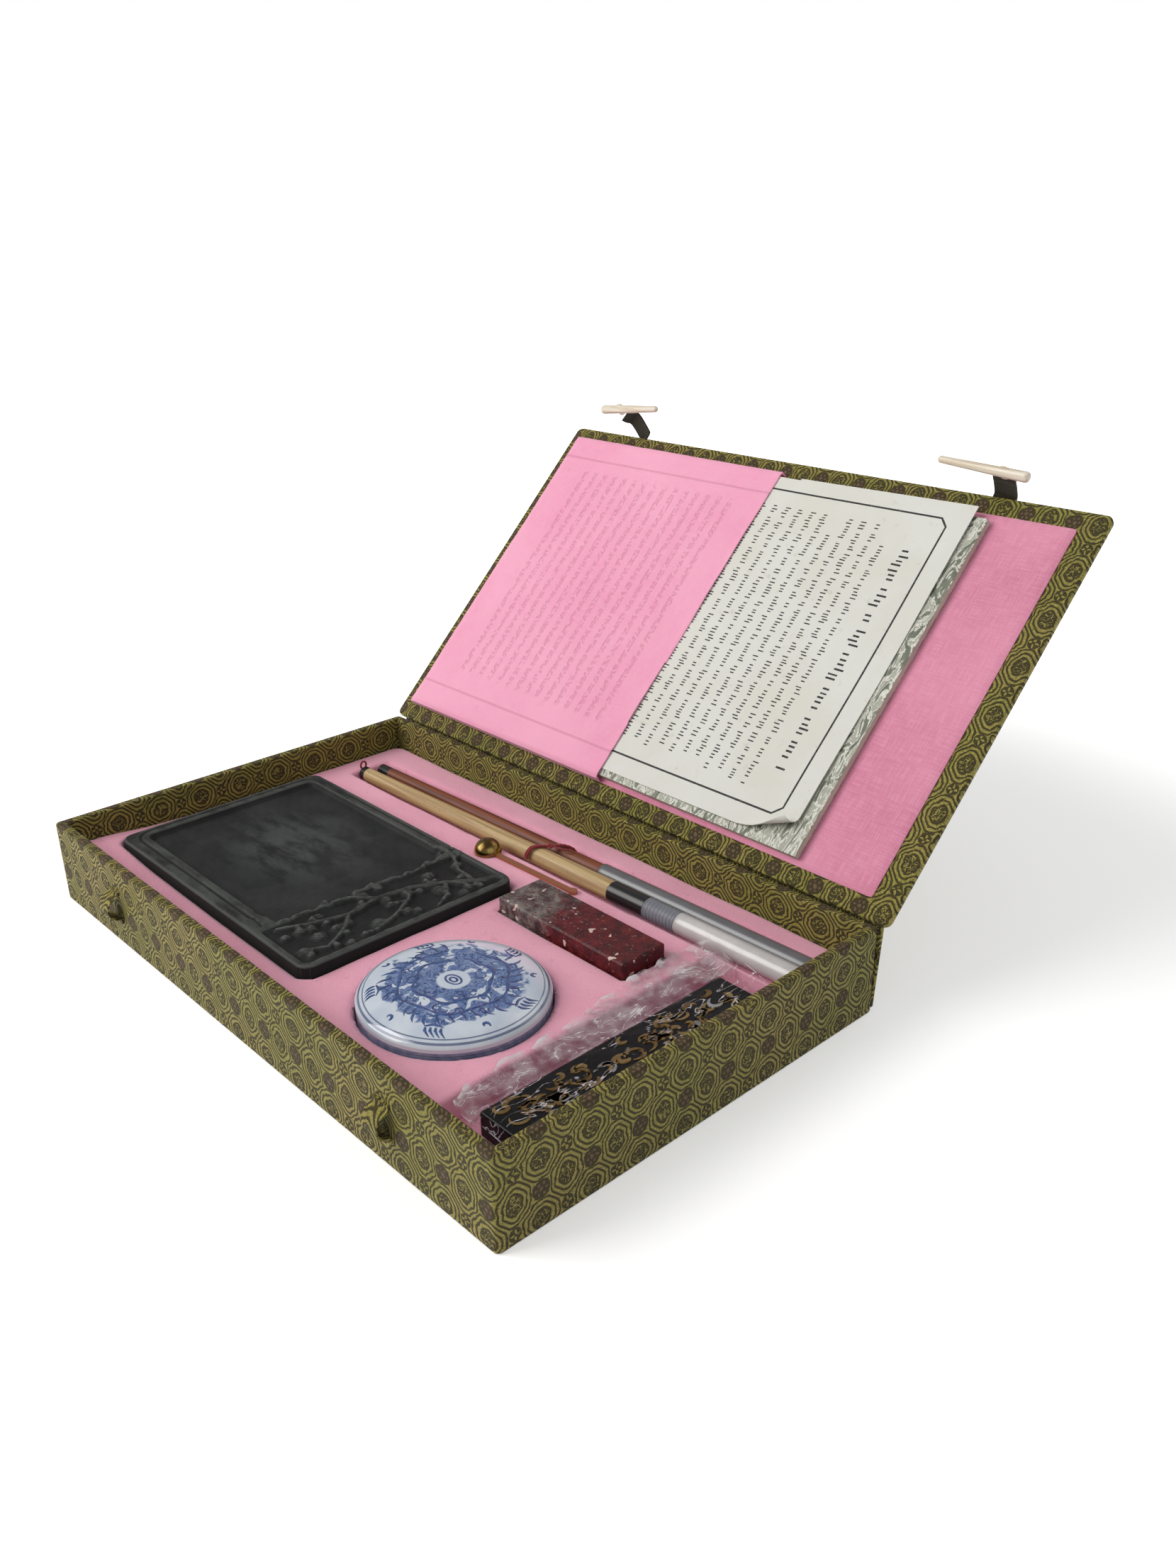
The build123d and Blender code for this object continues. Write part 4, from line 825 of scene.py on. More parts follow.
class Finishes:
    """Every finish of the set, by name."""

    brocade = Brocade("brocade_cloth", "brocade")
    pink_cloth = PinkCloth("pink_lining_cloth", "pink_cloth", light=srgb(232, 150, 178),
                           deep=srgb(216, 132, 160), slub=srgb(242, 172, 196))
    pocket_cloth = PinkCloth("pink_pocket_cloth", "pink_cloth", imprint=True,
                             light=srgb(253, 176, 206), deep=srgb(246, 160, 194))
    flock = Flock("pink_flocking", "pink_flock")
    card = PlainSheet("grey_box_card", "grey_card", sheet=srgb(150, 146, 138),
                      stain=srgb(128, 124, 116))
    base_paper = PlainSheet("underside_paper", "lining_paper", sheet=srgb(226, 220, 204))
    leaflet_paper = PlainSheet("leaflet_paper", "white_paper", stained=0.35)
    page_edges = PageEdges("pad_page_edges", "pad_sheets")
    marbled = Streaked("marbled_pad_cover", "pad_cover", dark=srgb(92, 100, 82),
                       light=srgb(180, 182, 166), stretch=(0.9, 0.34, 0.34),
                       grain=(0.22, 4.0, 0.6, 2.4), rough=(0.45, 0.7), relief=0.00005,
                       vein=srgb(228, 226, 216))
    print_ink = Streaked("leaflet_print", "white_paper", dark=srgb(32, 31, 33),
                         light=srgb(88, 86, 84), grain=(1.6, 3.0), tone=(0.45, 0.75),
                         rough=(0.6, 0.8))
    slate = Slate("inkstone_slate", "slate")
    seal_stone = SealStone("red_and_grey_soapstone", "seal_stone")
    porcelain = Porcelain("porcelain_glaze", "porcelain")
    painted_porcelain = Porcelain("painted_porcelain", "porcelain", painted=True)
    blue_paint = Streaked("cobalt_brushwork", "porcelain", dark=srgb(30, 52, 104),
                          light=srgb(66, 98, 154), grain=(0.45, 4.0, 0.65),
                          rough=(0.08, 0.16), coat=(0.6, 0.05))
    cinnabar = Moulded("cinnabar_paste", "cinnabar", colour=srgb(190, 34, 22),
                       dull=srgb(150, 20, 16), rough=(0.5, 0.8), relief=0.0003)
    ink = Moulded("pressed_ink", "ink", colour=srgb(14, 14, 16), dull=srgb(22, 21, 22),
                  rough=(0.22, 0.4), gloss=0.2)
    gilt = Metal("ink_stick_gilding", "ink", bright=srgb(184, 156, 104),
                 tarnish=srgb(104, 80, 50), rough=(0.3, 0.5))
    silvered = Metal("ink_stick_silvering", "ink", bright=srgb(196, 198, 198),
                     tarnish=srgb(128, 126, 120), rough=(0.3, 0.5))
    cellophane = ClearFilm(
        "crinkled_cellophane", "cellophane", crease=1.0, rim=5.0, relief=0.0006, coat_rough=0.04,
        alpha=(0.0, 0.75), veil=0.2, veil_span=(111.0, 105.0), tint=srgb(216, 196, 202))
    bamboo = Grained("bamboo_handle", "bamboo", light=srgb(198, 172, 124),
                     dark=srgb(160, 130, 88), smudge=0.8, coat=0.04,
                     rough=(0.45, 0.65))
    red_wood = Grained("red_wood_handle", "red_wood", light=srgb(132, 68, 34),
                       dark=srgb(88, 38, 20), coat=0.05,
                       rough=(0.4, 0.6))
    bone = Grained("bone_pegs", "bone", light=srgb(238, 230, 214), dark=srgb(214, 198, 172),
                   coat=0.35, rough=(0.25, 0.4))
    black_plastic = Moulded("black_plastic", "black_plastic")
    grey_collar = Moulded("ribbed_collar", "clear_plastic", colour=srgb(128, 130, 138),
                          dull=srgb(104, 106, 114), rough=(0.2, 0.35))
    clear_cap = ClearFilm("clear_brush_cap", "clear_plastic", alpha=(0.5, 0.8),
                          tint=srgb(214, 208, 204), rough=0.28)
    smoky_cap = ClearFilm("smoky_brush_cap", "clear_plastic", alpha=(0.6, 0.92),
                          tint=srgb(92, 92, 96), light=srgb(124, 124, 128),
                          rough=0.3, relief=0.0, coat_rough=0.3)
    hair = Streaked("brush_hair", "hair", stretch=(0.04, 5.0, 5.0), grain=(1.0, 3.0, 0.6),
                    relief=0.0002, sheen=0.2)
    red_thread = Streaked("red_cotton_thread", "red_thread", dark=srgb(104, 10, 20),
                          light=srgb(160, 24, 36), stretch=(3.0, 3.0, 6.0), grain=(1.0, 2.0),
                          tone=(0.35, 0.65), rough=(0.7, 0.9), relief=0.0002, sheen=0.3)
    brass = Metal("spoon_brass", "brass", bright=srgb(200, 170, 100),
                  tarnish=srgb(96, 76, 44), rough=(0.1, 0.28))
    copper = Metal("copper_strip", "copper_strip", bright=srgb(96, 78, 52),
                   tarnish=srgb(44, 34, 24), rough=(0.35, 0.6))
    dark_tape = PinkCloth("dark_tape_cloth", "brocade", light=srgb(50, 42, 26),
                          deep=srgb(30, 25, 16), slub=srgb(68, 60, 34),
                          speck=srgb(16, 12, 8))




# ---- mesh tools


@dataclass(frozen=True)
class Slant:
    """A flat frame that pieces are drawn in, such as the open lid's inner face."""

    origin: Triple = (0.0, 0.0, 0.0)
    across: Triple = (1.0, 0.0, 0.0)
    along: Triple = (0.0, 1.0, 0.0)
    out: Triple = (0.0, 0.0, 1.0)

    def place(self, points: Array) -> Array:
        """Turns points of this frame into points of the tray's frame."""
        axes = np.array([self.across, self.along, self.out], float)
        return np.asarray(points, float) @ axes + np.array(self.origin, float)


def leaning(origin: Triple, angle: float) -> Slant:
    """Makes a frame that rises at an angle in degrees from the table."""
    turn = math.radians(angle)
    return Slant(origin, (1.0, 0.0, 0.0), (0.0, math.cos(turn), math.sin(turn)),
                 (0.0, -math.sin(turn), math.cos(turn)))


ACROSS = np.array([1.0, 0.0, 0.0])
TABLE = Slant()
LID_FACE = leaning((0.0, 85.495, 34.593), 44.6)
SPINE_FACE = leaning((0.0, 86.1, 0.6), 85.0)


@dataclass
class Shape:
    """Points, faces and the flat cloth plan of a mesh under construction."""

    points: Array
    faces: list[tuple[int, ...]]
    plan: Array | None = None  # per point, or per face corner


def merged(shapes: Sequence[Shape]) -> Shape:
    """Joins shapes that need no plan into one."""
    faces: list[tuple[int, ...]] = []
    shift = 0
    for shape in shapes:
        faces += [tuple(i + shift for i in face) for face in shape.faces]
        shift += len(shape.points)
    return Shape(np.vstack([shape.points for shape in shapes]), faces)


def make_piece(name: str, shape: Shape, finish: Finish, body: Body | None,
               slant: Slant = TABLE, sharp: float = 40.0) -> bpy.types.Object:
    """Makes an object from a shape and lets it ride on a body.

    Args:
        name: The object's name.
        shape: Its mesh, in millimetres of the slant's frame.
        finish: Its finish.
        body: The body that it moves with, or None when it rides on none.
        slant: The frame that it is drawn in.
        sharp: Degrees between faces from which an edge stays sharp.

    Returns:
        The new object.
    """
    mesh = bpy.data.meshes.new(name)
    places = slant.place(shape.points) * MM
    mesh.from_pydata([tuple(p) for p in places], [], shape.faces)
    if shape.plan is not None:
        per_corner = len(shape.plan) != len(shape.points)
        domain = "CORNER" if per_corner else "POINT"
        layer = mesh.attributes.new(PLAN, "FLOAT_VECTOR", domain)
        values = np.zeros((len(shape.plan), 3), np.float32)
        values[:, :2] = shape.plan
        layer.data.foreach_set("vector", values.ravel())
    work = bmesh.new()
    work.from_mesh(mesh)
    bmesh.ops.recalc_face_normals(work, faces=work.faces)
    work.to_mesh(mesh)
    work.free()
    mesh.polygons.foreach_set("use_smooth", [True] * len(mesh.polygons))
    mesh.set_sharp_from_angle(angle=math.radians(sharp))
    mesh.materials.append(finish.material())
    made = bpy.data.objects.new(name, mesh)
    bpy.context.scene.collection.objects.link(made)
    if body is not None:
        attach(made, body.value)
    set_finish(made, finish.slot)
    LOG.info("%s: %d points", name, len(mesh.vertices))
    return made


def dress(node: str, finish: Finish) -> None:
    """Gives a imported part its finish.

    Args:
        node: The part's name.
        finish: The finish for its whole surface.
    """
    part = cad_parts[node]
    part.data.materials.clear()
    part.data.materials.append(finish.material())
    LOG.info("%s: dressed with %s", node, finish.name)


def loft(rings: Sequence[Array], closed_rings: bool = True, looped: bool = False,
         capped: bool = True, plan_u: Array | None = None,
         plan_v: Array | None = None) -> Shape:
    """Joins rings of equal length into a skin.

    Args:
        rings: Rings of points.
        closed_rings: Whether each ring closes on itself.
        looped: Whether the last ring joins the first.
        capped: Whether the two end rings are filled.
        plan_u: Place round each ring on the flat cloth, one more than its points
            where the rings are closed.
        plan_v: Place from ring to ring, one more than the rings where looped.

    Returns:
        The shape.
    """
    count, around = len(rings), len(rings[0])
    points = np.vstack(rings)
    faces: list[tuple[int, ...]] = []
    plan: list[Pair] = []
    for i in range(count if looped else count - 1):
        for j in range(around if closed_rings else around - 1):
            i2, j2 = (i + 1) % count, (j + 1) % around
            faces.append((i * around + j, i * around + j2, i2 * around + j2, i2 * around + j))
            if plan_u is not None:
                plan += [(plan_u[j], plan_v[i]), (plan_u[j + 1], plan_v[i]),
                         (plan_u[j + 1], plan_v[i + 1]), (plan_u[j], plan_v[i + 1])]
    if capped and not looped and closed_rings:
        for start in (0, (count - 1) * around):
            ring = list(range(start, start + around))
            faces.append(tuple(ring if start else reversed(ring)))
            if plan_u is not None:
                plan += [tuple(points[k, :2]) for k in faces[-1]]
    return Shape(points, faces, np.array(plan) if plan_u is not None else None)


def rounded_ring(half_x: float, half_y: float, radius: float, inset: float,
                 steps: tuple[int, int], corner_steps: int = 6) -> Array:
    """Gives a rounded rectangle's points, always as many for any inset.

    Args:
        half_x: Half its width before the inset.
        half_y: Half its height before the inset.
        radius: Its corner radius before the inset.
        inset: How far it is drawn in.
        steps: Divisions of its straight sides in X and Y.
        corner_steps: Divisions of each corner.

    Returns:
        The points, counter-clockwise from the lower left.
    """
    hx, hy = half_x - inset, half_y - inset
    r = max(radius - inset, 0.02)
    turns = 90 * np.arange(corner_steps + 1) / corner_steps
    corners = [polar(r, np.radians(start + turns)) + (sx * (hx - r), sy * (hy - r))
               for sx, sy, start in ((1, -1, -90), (1, 1, 0), (-1, 1, 90), (-1, -1, 180))]
    points = []
    for side, corner in enumerate(corners):
        before = corners[side - 1][-1]
        points += [np.linspace(before, corner[0], steps[side % 2], endpoint=False), corner[:-1]]
    return np.vstack(points)


def around_length(ring: Array) -> Array:
    """Gives the distance round a closed ring at each point and back at the start."""
    steps = np.linalg.norm(np.roll(ring, -1, axis=0) - ring, axis=1)
    return np.concatenate([[0.0], np.cumsum(steps)])


def along_length(path: Array) -> Array:
    """Gives the distance along an open path at each point."""
    steps = np.linalg.norm(np.diff(path, axis=0), axis=1)
    return np.concatenate([[0.0], np.cumsum(steps)])


def direction(vectors: Array) -> Array:
    """Scales vectors to a length of one."""
    return vectors / np.maximum(np.linalg.norm(vectors, axis=-1, keepdims=True), 1e-9)


def ripple(x: Array, y: Array, size: float, seed: float) -> Array:
    """Gives gentle uneven waves between about -1 and 1.

    Args:
        x: First coordinate.
        y: Second coordinate.
        size: Length of the longest wave.
        seed: Number that shifts the waves.

    Returns:
        Their height at each point.
    """
    total = np.zeros_like(np.asarray(x, float))
    for k in range(1, 5):
        turn = seed * 1.7 + k * 2.4
        kx, ky = math.cos(turn) * k / size, math.sin(turn) * k / size
        total += np.sin(math.tau * (kx * x + ky * y) + seed * k * 3.1) / k
    return total / 1.6


def polar(radius: Array | float, angle: Array | float) -> Array:
    """Gives flat points at distances and angles from zero."""
    return np.stack([radius * np.cos(angle), radius * np.sin(angle)], axis=-1)


def unit(values: Array) -> Array:
    """Keeps values between 0 and 1."""
    return np.clip(values, 0, 1)


def bevel(far: Array, run: float, drop: float) -> Array:
    """Gives the depth of a rounded edge at a signed distance from its outline."""
    return drop * (1 - np.sqrt(1 - unit(1 + far / run) ** 2 * ROUNDNESS))


def rounded_box(rect: Rect, radius: float) -> Field:
    """Makes the signed distance to a rounded rectangle, negative inside."""
    x0, x1, y0, y1 = rect
    cx, cy = (x0 + x1) / 2, (y0 + y1) / 2
    hx, hy = (x1 - x0) / 2 - radius, (y1 - y0) / 2 - radius

    def distance(x: Array, y: Array) -> Array:
        """Signed distance in millimetres."""
        qx, qy = np.abs(x - cx) - hx, np.abs(y - cy) - hy
        outer = np.hypot(np.maximum(qx, 0), np.maximum(qy, 0))
        return outer + np.minimum(np.maximum(qx, qy), 0) - radius

    return distance


def disc(cx: float, cy: float, radius: float) -> Field:
    """Makes the signed distance to a circle, negative inside."""
    return lambda x, y: np.hypot(x - cx, y - cy) - radius


def convex(corners: Sequence[Pair]) -> Field:
    """Makes the signed distance to a convex outline given counter-clockwise."""

    def distance(x: Array, y: Array) -> Array:
        """Signed distance in millimetres."""
        total = np.full(np.shape(x), -1e9)
        for (ax, ay), (bx, by) in zip(corners, list(corners[1:]) + [corners[0]]):
            length = math.hypot(bx - ax, by - ay)
            nx, ny = (by - ay) / length, -(bx - ax) / length
            total = np.maximum(total, (x - ax) * nx + (y - ay) * ny)
        return total

    return distance


def pull_onto(x: Array, y: Array, to: Field, where: Array, level: float = 0.0) -> None:
    """Moves points along a field's slope until they lie at a level of it.

    Args:
        x: First coordinates, changed in place.
        y: Second coordinates, changed in place.
        to: The field.
        where: Mask of the points that move.
        level: The level that they move to.
    """
    eps = 0.02
    for _ in range(3):
        d = to(x, y) - level
        gx = (to(x + eps, y) - to(x - eps, y)) / (2 * eps)
        gy = (to(x, y + eps) - to(x, y - eps)) / (2 * eps)
        size = np.maximum(gx**2 + gy**2, 1e-6)
        x[where] -= (d * gx / size)[where]
        y[where] -= (d * gy / size)[where]


@dataclass
class Relief:
    """A closed slab whose top is a height field inside an outline."""

    outline: Field
    height: Field
    low: Pair
    high: Pair
    step: float
    under: Field | float = 0.0
    wells: Sequence[Field] = ()
    well_run: float = 0.4

    def shape(self) -> Shape:
        """Builds the top, the sides and the underside."""
        nx = int(round((self.high[0] - self.low[0]) / self.step)) + 3
        ny = int(round((self.high[1] - self.low[1]) / self.step)) + 3
        xs = np.linspace(self.low[0] - self.step, self.high[0] + self.step, nx)
        ys = np.linspace(self.low[1] - self.step, self.high[1] + self.step, ny)
        x, y = (a.copy() for a in np.meshgrid(xs, ys, indexing="ij"))
        for well in self.wells:
            d = well(x, y)
            pull_onto(x, y, well, (d > -0.5 * self.step) & (d < 0.5 * self.step))
            inner = (d <= -0.5 * self.step) & (d > -1.3 * self.step)
            pull_onto(x, y, well, inner, -self.well_run)
        d = self.outline(x, y)
        middle = self.outline((x[:-1, :-1] + x[1:, 1:]) / 2, (y[:-1, :-1] + y[1:, 1:]) / 2)
        kept = middle < 0
        pull_onto(x, y, self.outline, (d > -0.35 * self.step) & (d < 1.6 * self.step))
        top = self.height(x, y)
        flat_under = isinstance(self.under, (int, float))
        base = np.full_like(top, self.under) if flat_under else self.under(x, y)
        index = np.arange(x.size).reshape(x.shape)
        quads = np.stack([index[:-1, :-1], index[1:, :-1], index[1:, 1:], index[:-1, 1:]],
                         axis=-1)[kept]
        used = np.unique(quads)
        renumber = np.full(x.size, -1)
        renumber[used] = np.arange(len(used))
        quads = renumber[quads]
        count = len(used)
        edges: dict[tuple[int, int], tuple[int, int]] = {}
        for quad in quads.tolist():
            for a, b in zip(quad, quad[1:] + quad[:1]):
                key = (min(a, b), max(a, b))
                if key in edges:
                    del edges[key]
                else:
                    edges[key] = (a, b)
        faces = [tuple(q) for q in quads.tolist()]
        faces += [tuple(i + count for i in reversed(q)) for q in quads.tolist()]
        faces += [(b, a, a + count, b + count) for a, b in edges.values()]
        points = np.vstack([np.stack([a.ravel()[used] for a in (x, y, face)], axis=1)
                            for face in (top, base)])
        return Shape(points, faces, points[:, :2].copy())


def ribbon(path: Array, widths: Array, lift: float, sink: float, out: Array) -> Shape:
    """Makes a thin closed strip that follows a path over a surface.

    Args:
        path: Points on the surface.
        widths: Full width at each point.
        lift: Height of its face above the surface.
        sink: Depth of its underside below the surface.
        out: The surface's normal at each point.

    Returns:
        The shape.
    """
    side = direction(np.cross(out, direction(np.gradient(path, axis=0))))
    half = widths[:, None] / 2
    rings = [np.array([p - s * h - n * sink, p - s * h * 0.8 + n * lift,
                       p + s * h * 0.8 + n * lift, p + s * h - n * sink])
             for p, s, h, n in zip(path, side, half, out)]
    return loft(rings)


def lathe(profile: Sequence[Pair], axis_start: Array, axis_end: Array,
          around: int = 48, wobble: Callable[[float, float], float] | None = None) -> Shape:
    """Turns a profile round an axis.

    Args:
        profile: Pairs of place along the axis and radius, in millimetres.
        axis_start: The axis's zero point.
        axis_end: A point that it runs towards.
        around: Divisions of the circle.
        wobble: Extra radius for a place and an angle.

    Returns:
        The closed shape.
    """
    axis = direction(axis_end - axis_start)
    helper = np.array([0.0, 0.0, 1.0]) if abs(axis[2]) < 0.9 else ACROSS
    u = direction(np.cross(helper, axis))
    v = np.cross(axis, u)
    rings = []
    for along, radius in profile:
        ring = []
        for k in range(around):
            angle = math.tau * k / around
            r = max(radius + (wobble(along, angle) if wobble else 0.0), 0.01)
            ring.append(axis_start + axis * along
                        + r * (u * math.cos(angle) + v * math.sin(angle)))
        rings.append(np.array(ring))
    return loft(rings)


def strand(path: Array, radius: float, around: int = 8, twist: float = 0.0) -> Shape:
    """Makes a round thread along a path.

    Args:
        path: Its centre line.
        radius: Its radius.
        around: Divisions of its section.
        twist: Depth of the twisted ply's groove, as a share of the radius.

    Returns:
        The closed shape.
    """
    ahead = direction(np.gradient(path, axis=0))
    side = np.cross(ahead[0], [0.3, 0.5, 0.8])
    rings = []
    length = along_length(path)
    for p, t, s in zip(path, ahead, length):
        side = direction(side - t * np.dot(side, t))
        up = np.cross(t, side)
        angles = np.arange(around) * math.tau / around
        size = radius * (1 - twist * (0.5 + 0.5 * np.cos(2 * angles + s * 2.2 / radius)))
        rings.append(p + np.outer(size * np.cos(angles), side)
                     + np.outer(size * np.sin(angles), up))
    return loft(rings)


def spline(points: Sequence[Sequence[float]], count: int) -> Array:
    """Runs a smooth curve through points.

    Args:
        points: The points.
        count: How many points to give back.

    Returns:
        Points along the curve.
    """
    given = np.array(points, float)
    ends = np.vstack([2 * given[0] - given[1], given, 2 * given[-1] - given[-2]])
    out = []
    for t in np.linspace(0, len(given) - 1, count):
        k = min(int(t), len(given) - 2)
        f = t - k
        p0, p1, p2, p3 = ends[k:k + 4]
        out.append(0.5 * ((2 * p1) + (p2 - p0) * f + (2 * p0 - 5 * p1 + 4 * p2 - p3) * f**2
                          + (3 * p1 - p0 - 3 * p2 + p3) * f**3))
    return np.array(out)


def strip(path: Array, across: Array, width: float, thick: float, phase: float,
          slices: int = 8, bow: float = 0.0) -> Shape:
    """Makes a closed band of cloth along a path.

    Args:
        path: Its middle line.
        across: Unit vector over its width.
        width: Its full width.
        thick: Its thickness.
        phase: Where the woven figure starts along it.
        slices: Divisions over its width.
        bow: How far its middle stands out.

    Returns:
        The shape, with its plan.
    """
    out = direction(np.cross(direction(np.gradient(path, axis=0)), across))
    rings = []
    offsets = np.linspace(-width / 2, width / 2, slices + 1)
    for p, n in zip(path, out):
        curve = bow * (1 - (2 * offsets / width) ** 2)
        front = p + np.outer(offsets, across) + np.outer(curve + thick / 2, n)
        back = p + np.outer(offsets[::-1], across) + np.outer(curve[::-1] - thick / 2, n)
        rings.append(np.vstack([front, back]))
    plan_u = np.concatenate([offsets, offsets[::-1], offsets[:1]])
    return loft(rings, plan_u=plan_u, plan_v=along_length(path) + phase)


# ---- the box


@dataclass
class Tray:
    """The open tray, its brocade skin and the two loops for the pegs."""

    half_x: float = 140.0
    half_y: float = 85.0
    height: float = 34.0
    corner: float = 2.0
    wall: float = 4.0
    cloth: float = 0.4
    foot: float = 0.3
    floor: float = 2.7
    rim: float = 0.9
    slack: float = 0.14
    figure_shift: Pair = (1.1, -14.0)
    divisions: tuple[int, int] = (56, 34)
    loop_x: float = 88.4
    loop_z: float = 17.2
    loop_width: float = 8.0
    loop_half_mouth: float = 4.3
    loop_depth: float = 4.9
    loop_foot: float = 2.2
    loop_cloth: float = 0.6

    def profile(self) -> tuple[list[Pair], list[Pair]]:
        """Gives the skin's shown and hidden sections as pairs of inset and height."""
        r, w, c = self.rim, self.wall, self.cloth
        outer = [(5.0, self.foot), (0.5, self.foot), (0.12, self.foot + 0.15), (0.0, 0.9)]
        outer += [(0.0, z) for z in np.linspace(3.0, self.height - 1.8, 11)]
        arc = [(r - r * math.cos(a), self.height - r + r * math.sin(a))
               for a in np.radians([0, 25, 50, 75, 90])]
        back = [(w - i, z) for i, z in reversed(arc)]
        inner = [(w, z) for z in np.linspace(self.height - 3.0, self.floor + 0.05, 9)]
        lining = [(w - c, self.floor + 0.05), (w - c, self.height - 1.2),
                  (w - 2 * c, self.height - c), (2 * c, self.height - c),
                  (c, self.height - 1.2), (c, self.foot + c), (5.0, self.foot + c)]
        return outer + arc + [(w / 2, self.height)] + back + inner, lining

    def ring(self, inset: float) -> Array:
        """Gives the tray's outline, drawn in by an inset."""
        return rounded_ring(self.half_x, self.half_y, self.corner, inset, self.divisions)

    def skin(self) -> Shape:
        """Builds the brocade that wraps the walls, with a little slack in it."""
        shown, hidden = self.profile()
        wall_foot, wall_top = 3, shown.index((self.wall / 2, self.height))
        length = around_length(self.ring(0.0))
        rings = []
        for k, (inset, z) in enumerate(shown + hidden):
            ring = self.ring(inset)
            if wall_foot <= k < len(shown):
                puff = self.slack * (ripple(length[:-1], np.full(len(ring), z), 90.0, 1.3)
                                     * 0.7 - 0.7)
                outward = self.ring(inset - 1.0) - ring
                ring = ring + outward * (puff * (-1 if k >= wall_top else 1))[:, None]
            rings.append(np.column_stack([ring, np.full(len(ring), z)]))
        rise = np.concatenate([along_length(np.array(shown + hidden)), [0.0]])
        rise = rise - rise[wall_foot] + shown[wall_foot][1]
        rise[-1] = rise[-2] + 1.0
        starts = length - self.half_x
        return loft(rings, looped=True, plan_u=starts + self.figure_shift[0],
                    plan_v=rise + self.figure_shift[1])

    def loop(self, x: float) -> Shape:
        """Builds one loop: two glued feet and a bowed tunnel between them."""
        a, s = self.loop_half_mouth, self.loop_depth
        radius = (a * a + s * s) / (2 * s) + self.loop_cloth / 2
        wall = -self.half_y - self.loop_cloth / 2
        centre = -self.half_y - s + radius - self.loop_cloth / 2
        arc = [(centre - radius * math.cos(t), self.loop_z + radius * math.sin(t))
               for t in np.linspace(math.pi / 2 - 0.12, -math.pi / 2 + 0.12, 22)]
        top = self.loop_z + a + self.loop_foot + 0.3
        low = self.loop_z - a - self.loop_foot - 0.3
        path = [(wall, top), (wall, top - 1.4)] + arc + [(wall, low + 1.4), (wall, low)]
        points = np.array([(x, y, z) for y, z in path])
        shape = strip(points, ACROSS, self.loop_width, self.loop_cloth, 0.0, 6)
        shape.plan = shape.points[:, [0, 2]] + np.array(
            [self.figure_shift[0] - self.corner, self.figure_shift[1]])
        return shape

    def build(self) -> None:
        """Makes the skin and the loops and dresses the boards."""
        skin = make_piece("tray_brocade_skin", self.skin(), Finishes.brocade, Body.TRAY, sharp=50)
        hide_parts("tray_brocade")
        2 * self.height * MM * 1.13
        for side, name in ((-1, "peg_loop_left"), (1, "peg_loop_right")):
            loop = make_piece(f"{name}_cloth", self.loop(side * self.loop_x),
                              Finishes.brocade, Body.TRAY)
            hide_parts(name)
        for node in ("front_wall", "back_wall", "left_wall", "right_wall", "base_board"):
            dress(node, Finishes.card)
        dress("base_paper", Finishes.base_paper)


@dataclass
class Insert:
    """The pink block with a pocket for every piece."""

    half_x: float = 135.2
    half_y: float = 80.2
    corner: float = 6.0
    top: float = 21.0
    under: float = 2.7
    edge: float = 2.2
    step: float = 1.2
    lifted: float = 3.6
    gap: float = 0.6
    stone: Rect = (-126.5, 13.5, -64.95, 28.55)
    seal: Rect = (22.0, 88.0, 13.45, 33.95)
    dish: Triple = (58.0, -34.98, 32.5)
    stick: Rect = (98.2, 134.2, -74.5, 46.5)
    brushes: tuple[Pair, ...] = ((-122.2, 45.0), (131.2, 48.2), (131.2, 69.8), (-122.2, 64.7))

    def outline(self) -> Field:
        """Gives the block's outline."""
        return rounded_box((-self.half_x, self.half_x, -self.half_y, self.half_y), self.corner)

    def pockets(self) -> list[tuple[Field, float, float]]:
        """Gives each pocket's outline, floor and edge softness."""
        g = self.gap
        wider = (-g, g, -g, g)
        return [(rounded_box(np.add(self.stone, wider), 5.6), 9.0, 1.3),
                (rounded_box(np.add(self.seal, wider), 1.0), 5.9, 1.0),
                (disc(self.dish[0], self.dish[1], self.dish[2] + g), 3.7, 1.0),
                (rounded_box(self.stick, 3.0), 11.7, 1.2),
                (convex(self.brushes), 15.7, 1.8)]

    def height(self, x: Array, y: Array) -> Array:
        """Gives the block's top, with soft edges and one lifted corner."""
        lift = np.exp(-(((x + self.half_x) / 34.0) ** 2 + ((y + self.half_y) / 30.0) ** 2))
        z = self.top + 0.22 * ripple(x, y, 70.0, 2.2) + self.lifted * lift
        z = z - bevel(self.outline()(x, y), self.edge, self.edge)
        for pocket, floor, soft in self.pockets():
            d = pocket(x, y)
            z = z - bevel(-d, soft, soft * 0.8) * (d >= -0.05)
            z = np.where(d < -0.1, floor, z)
        return z

    def build(self) -> None:
        """Makes the flocked block."""
        relief = Relief(
            outline=self.outline(), height=self.height, low=(-self.half_x, -self.half_y),
            high=(self.half_x, self.half_y), step=self.step, under=self.under,
            wells=[pocket for pocket, _, _ in self.pockets()])
        block = make_piece("insert_flocked_block", relief.shape(), Finishes.flock, Body.TRAY,
                           sharp=60)
        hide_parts("insert")


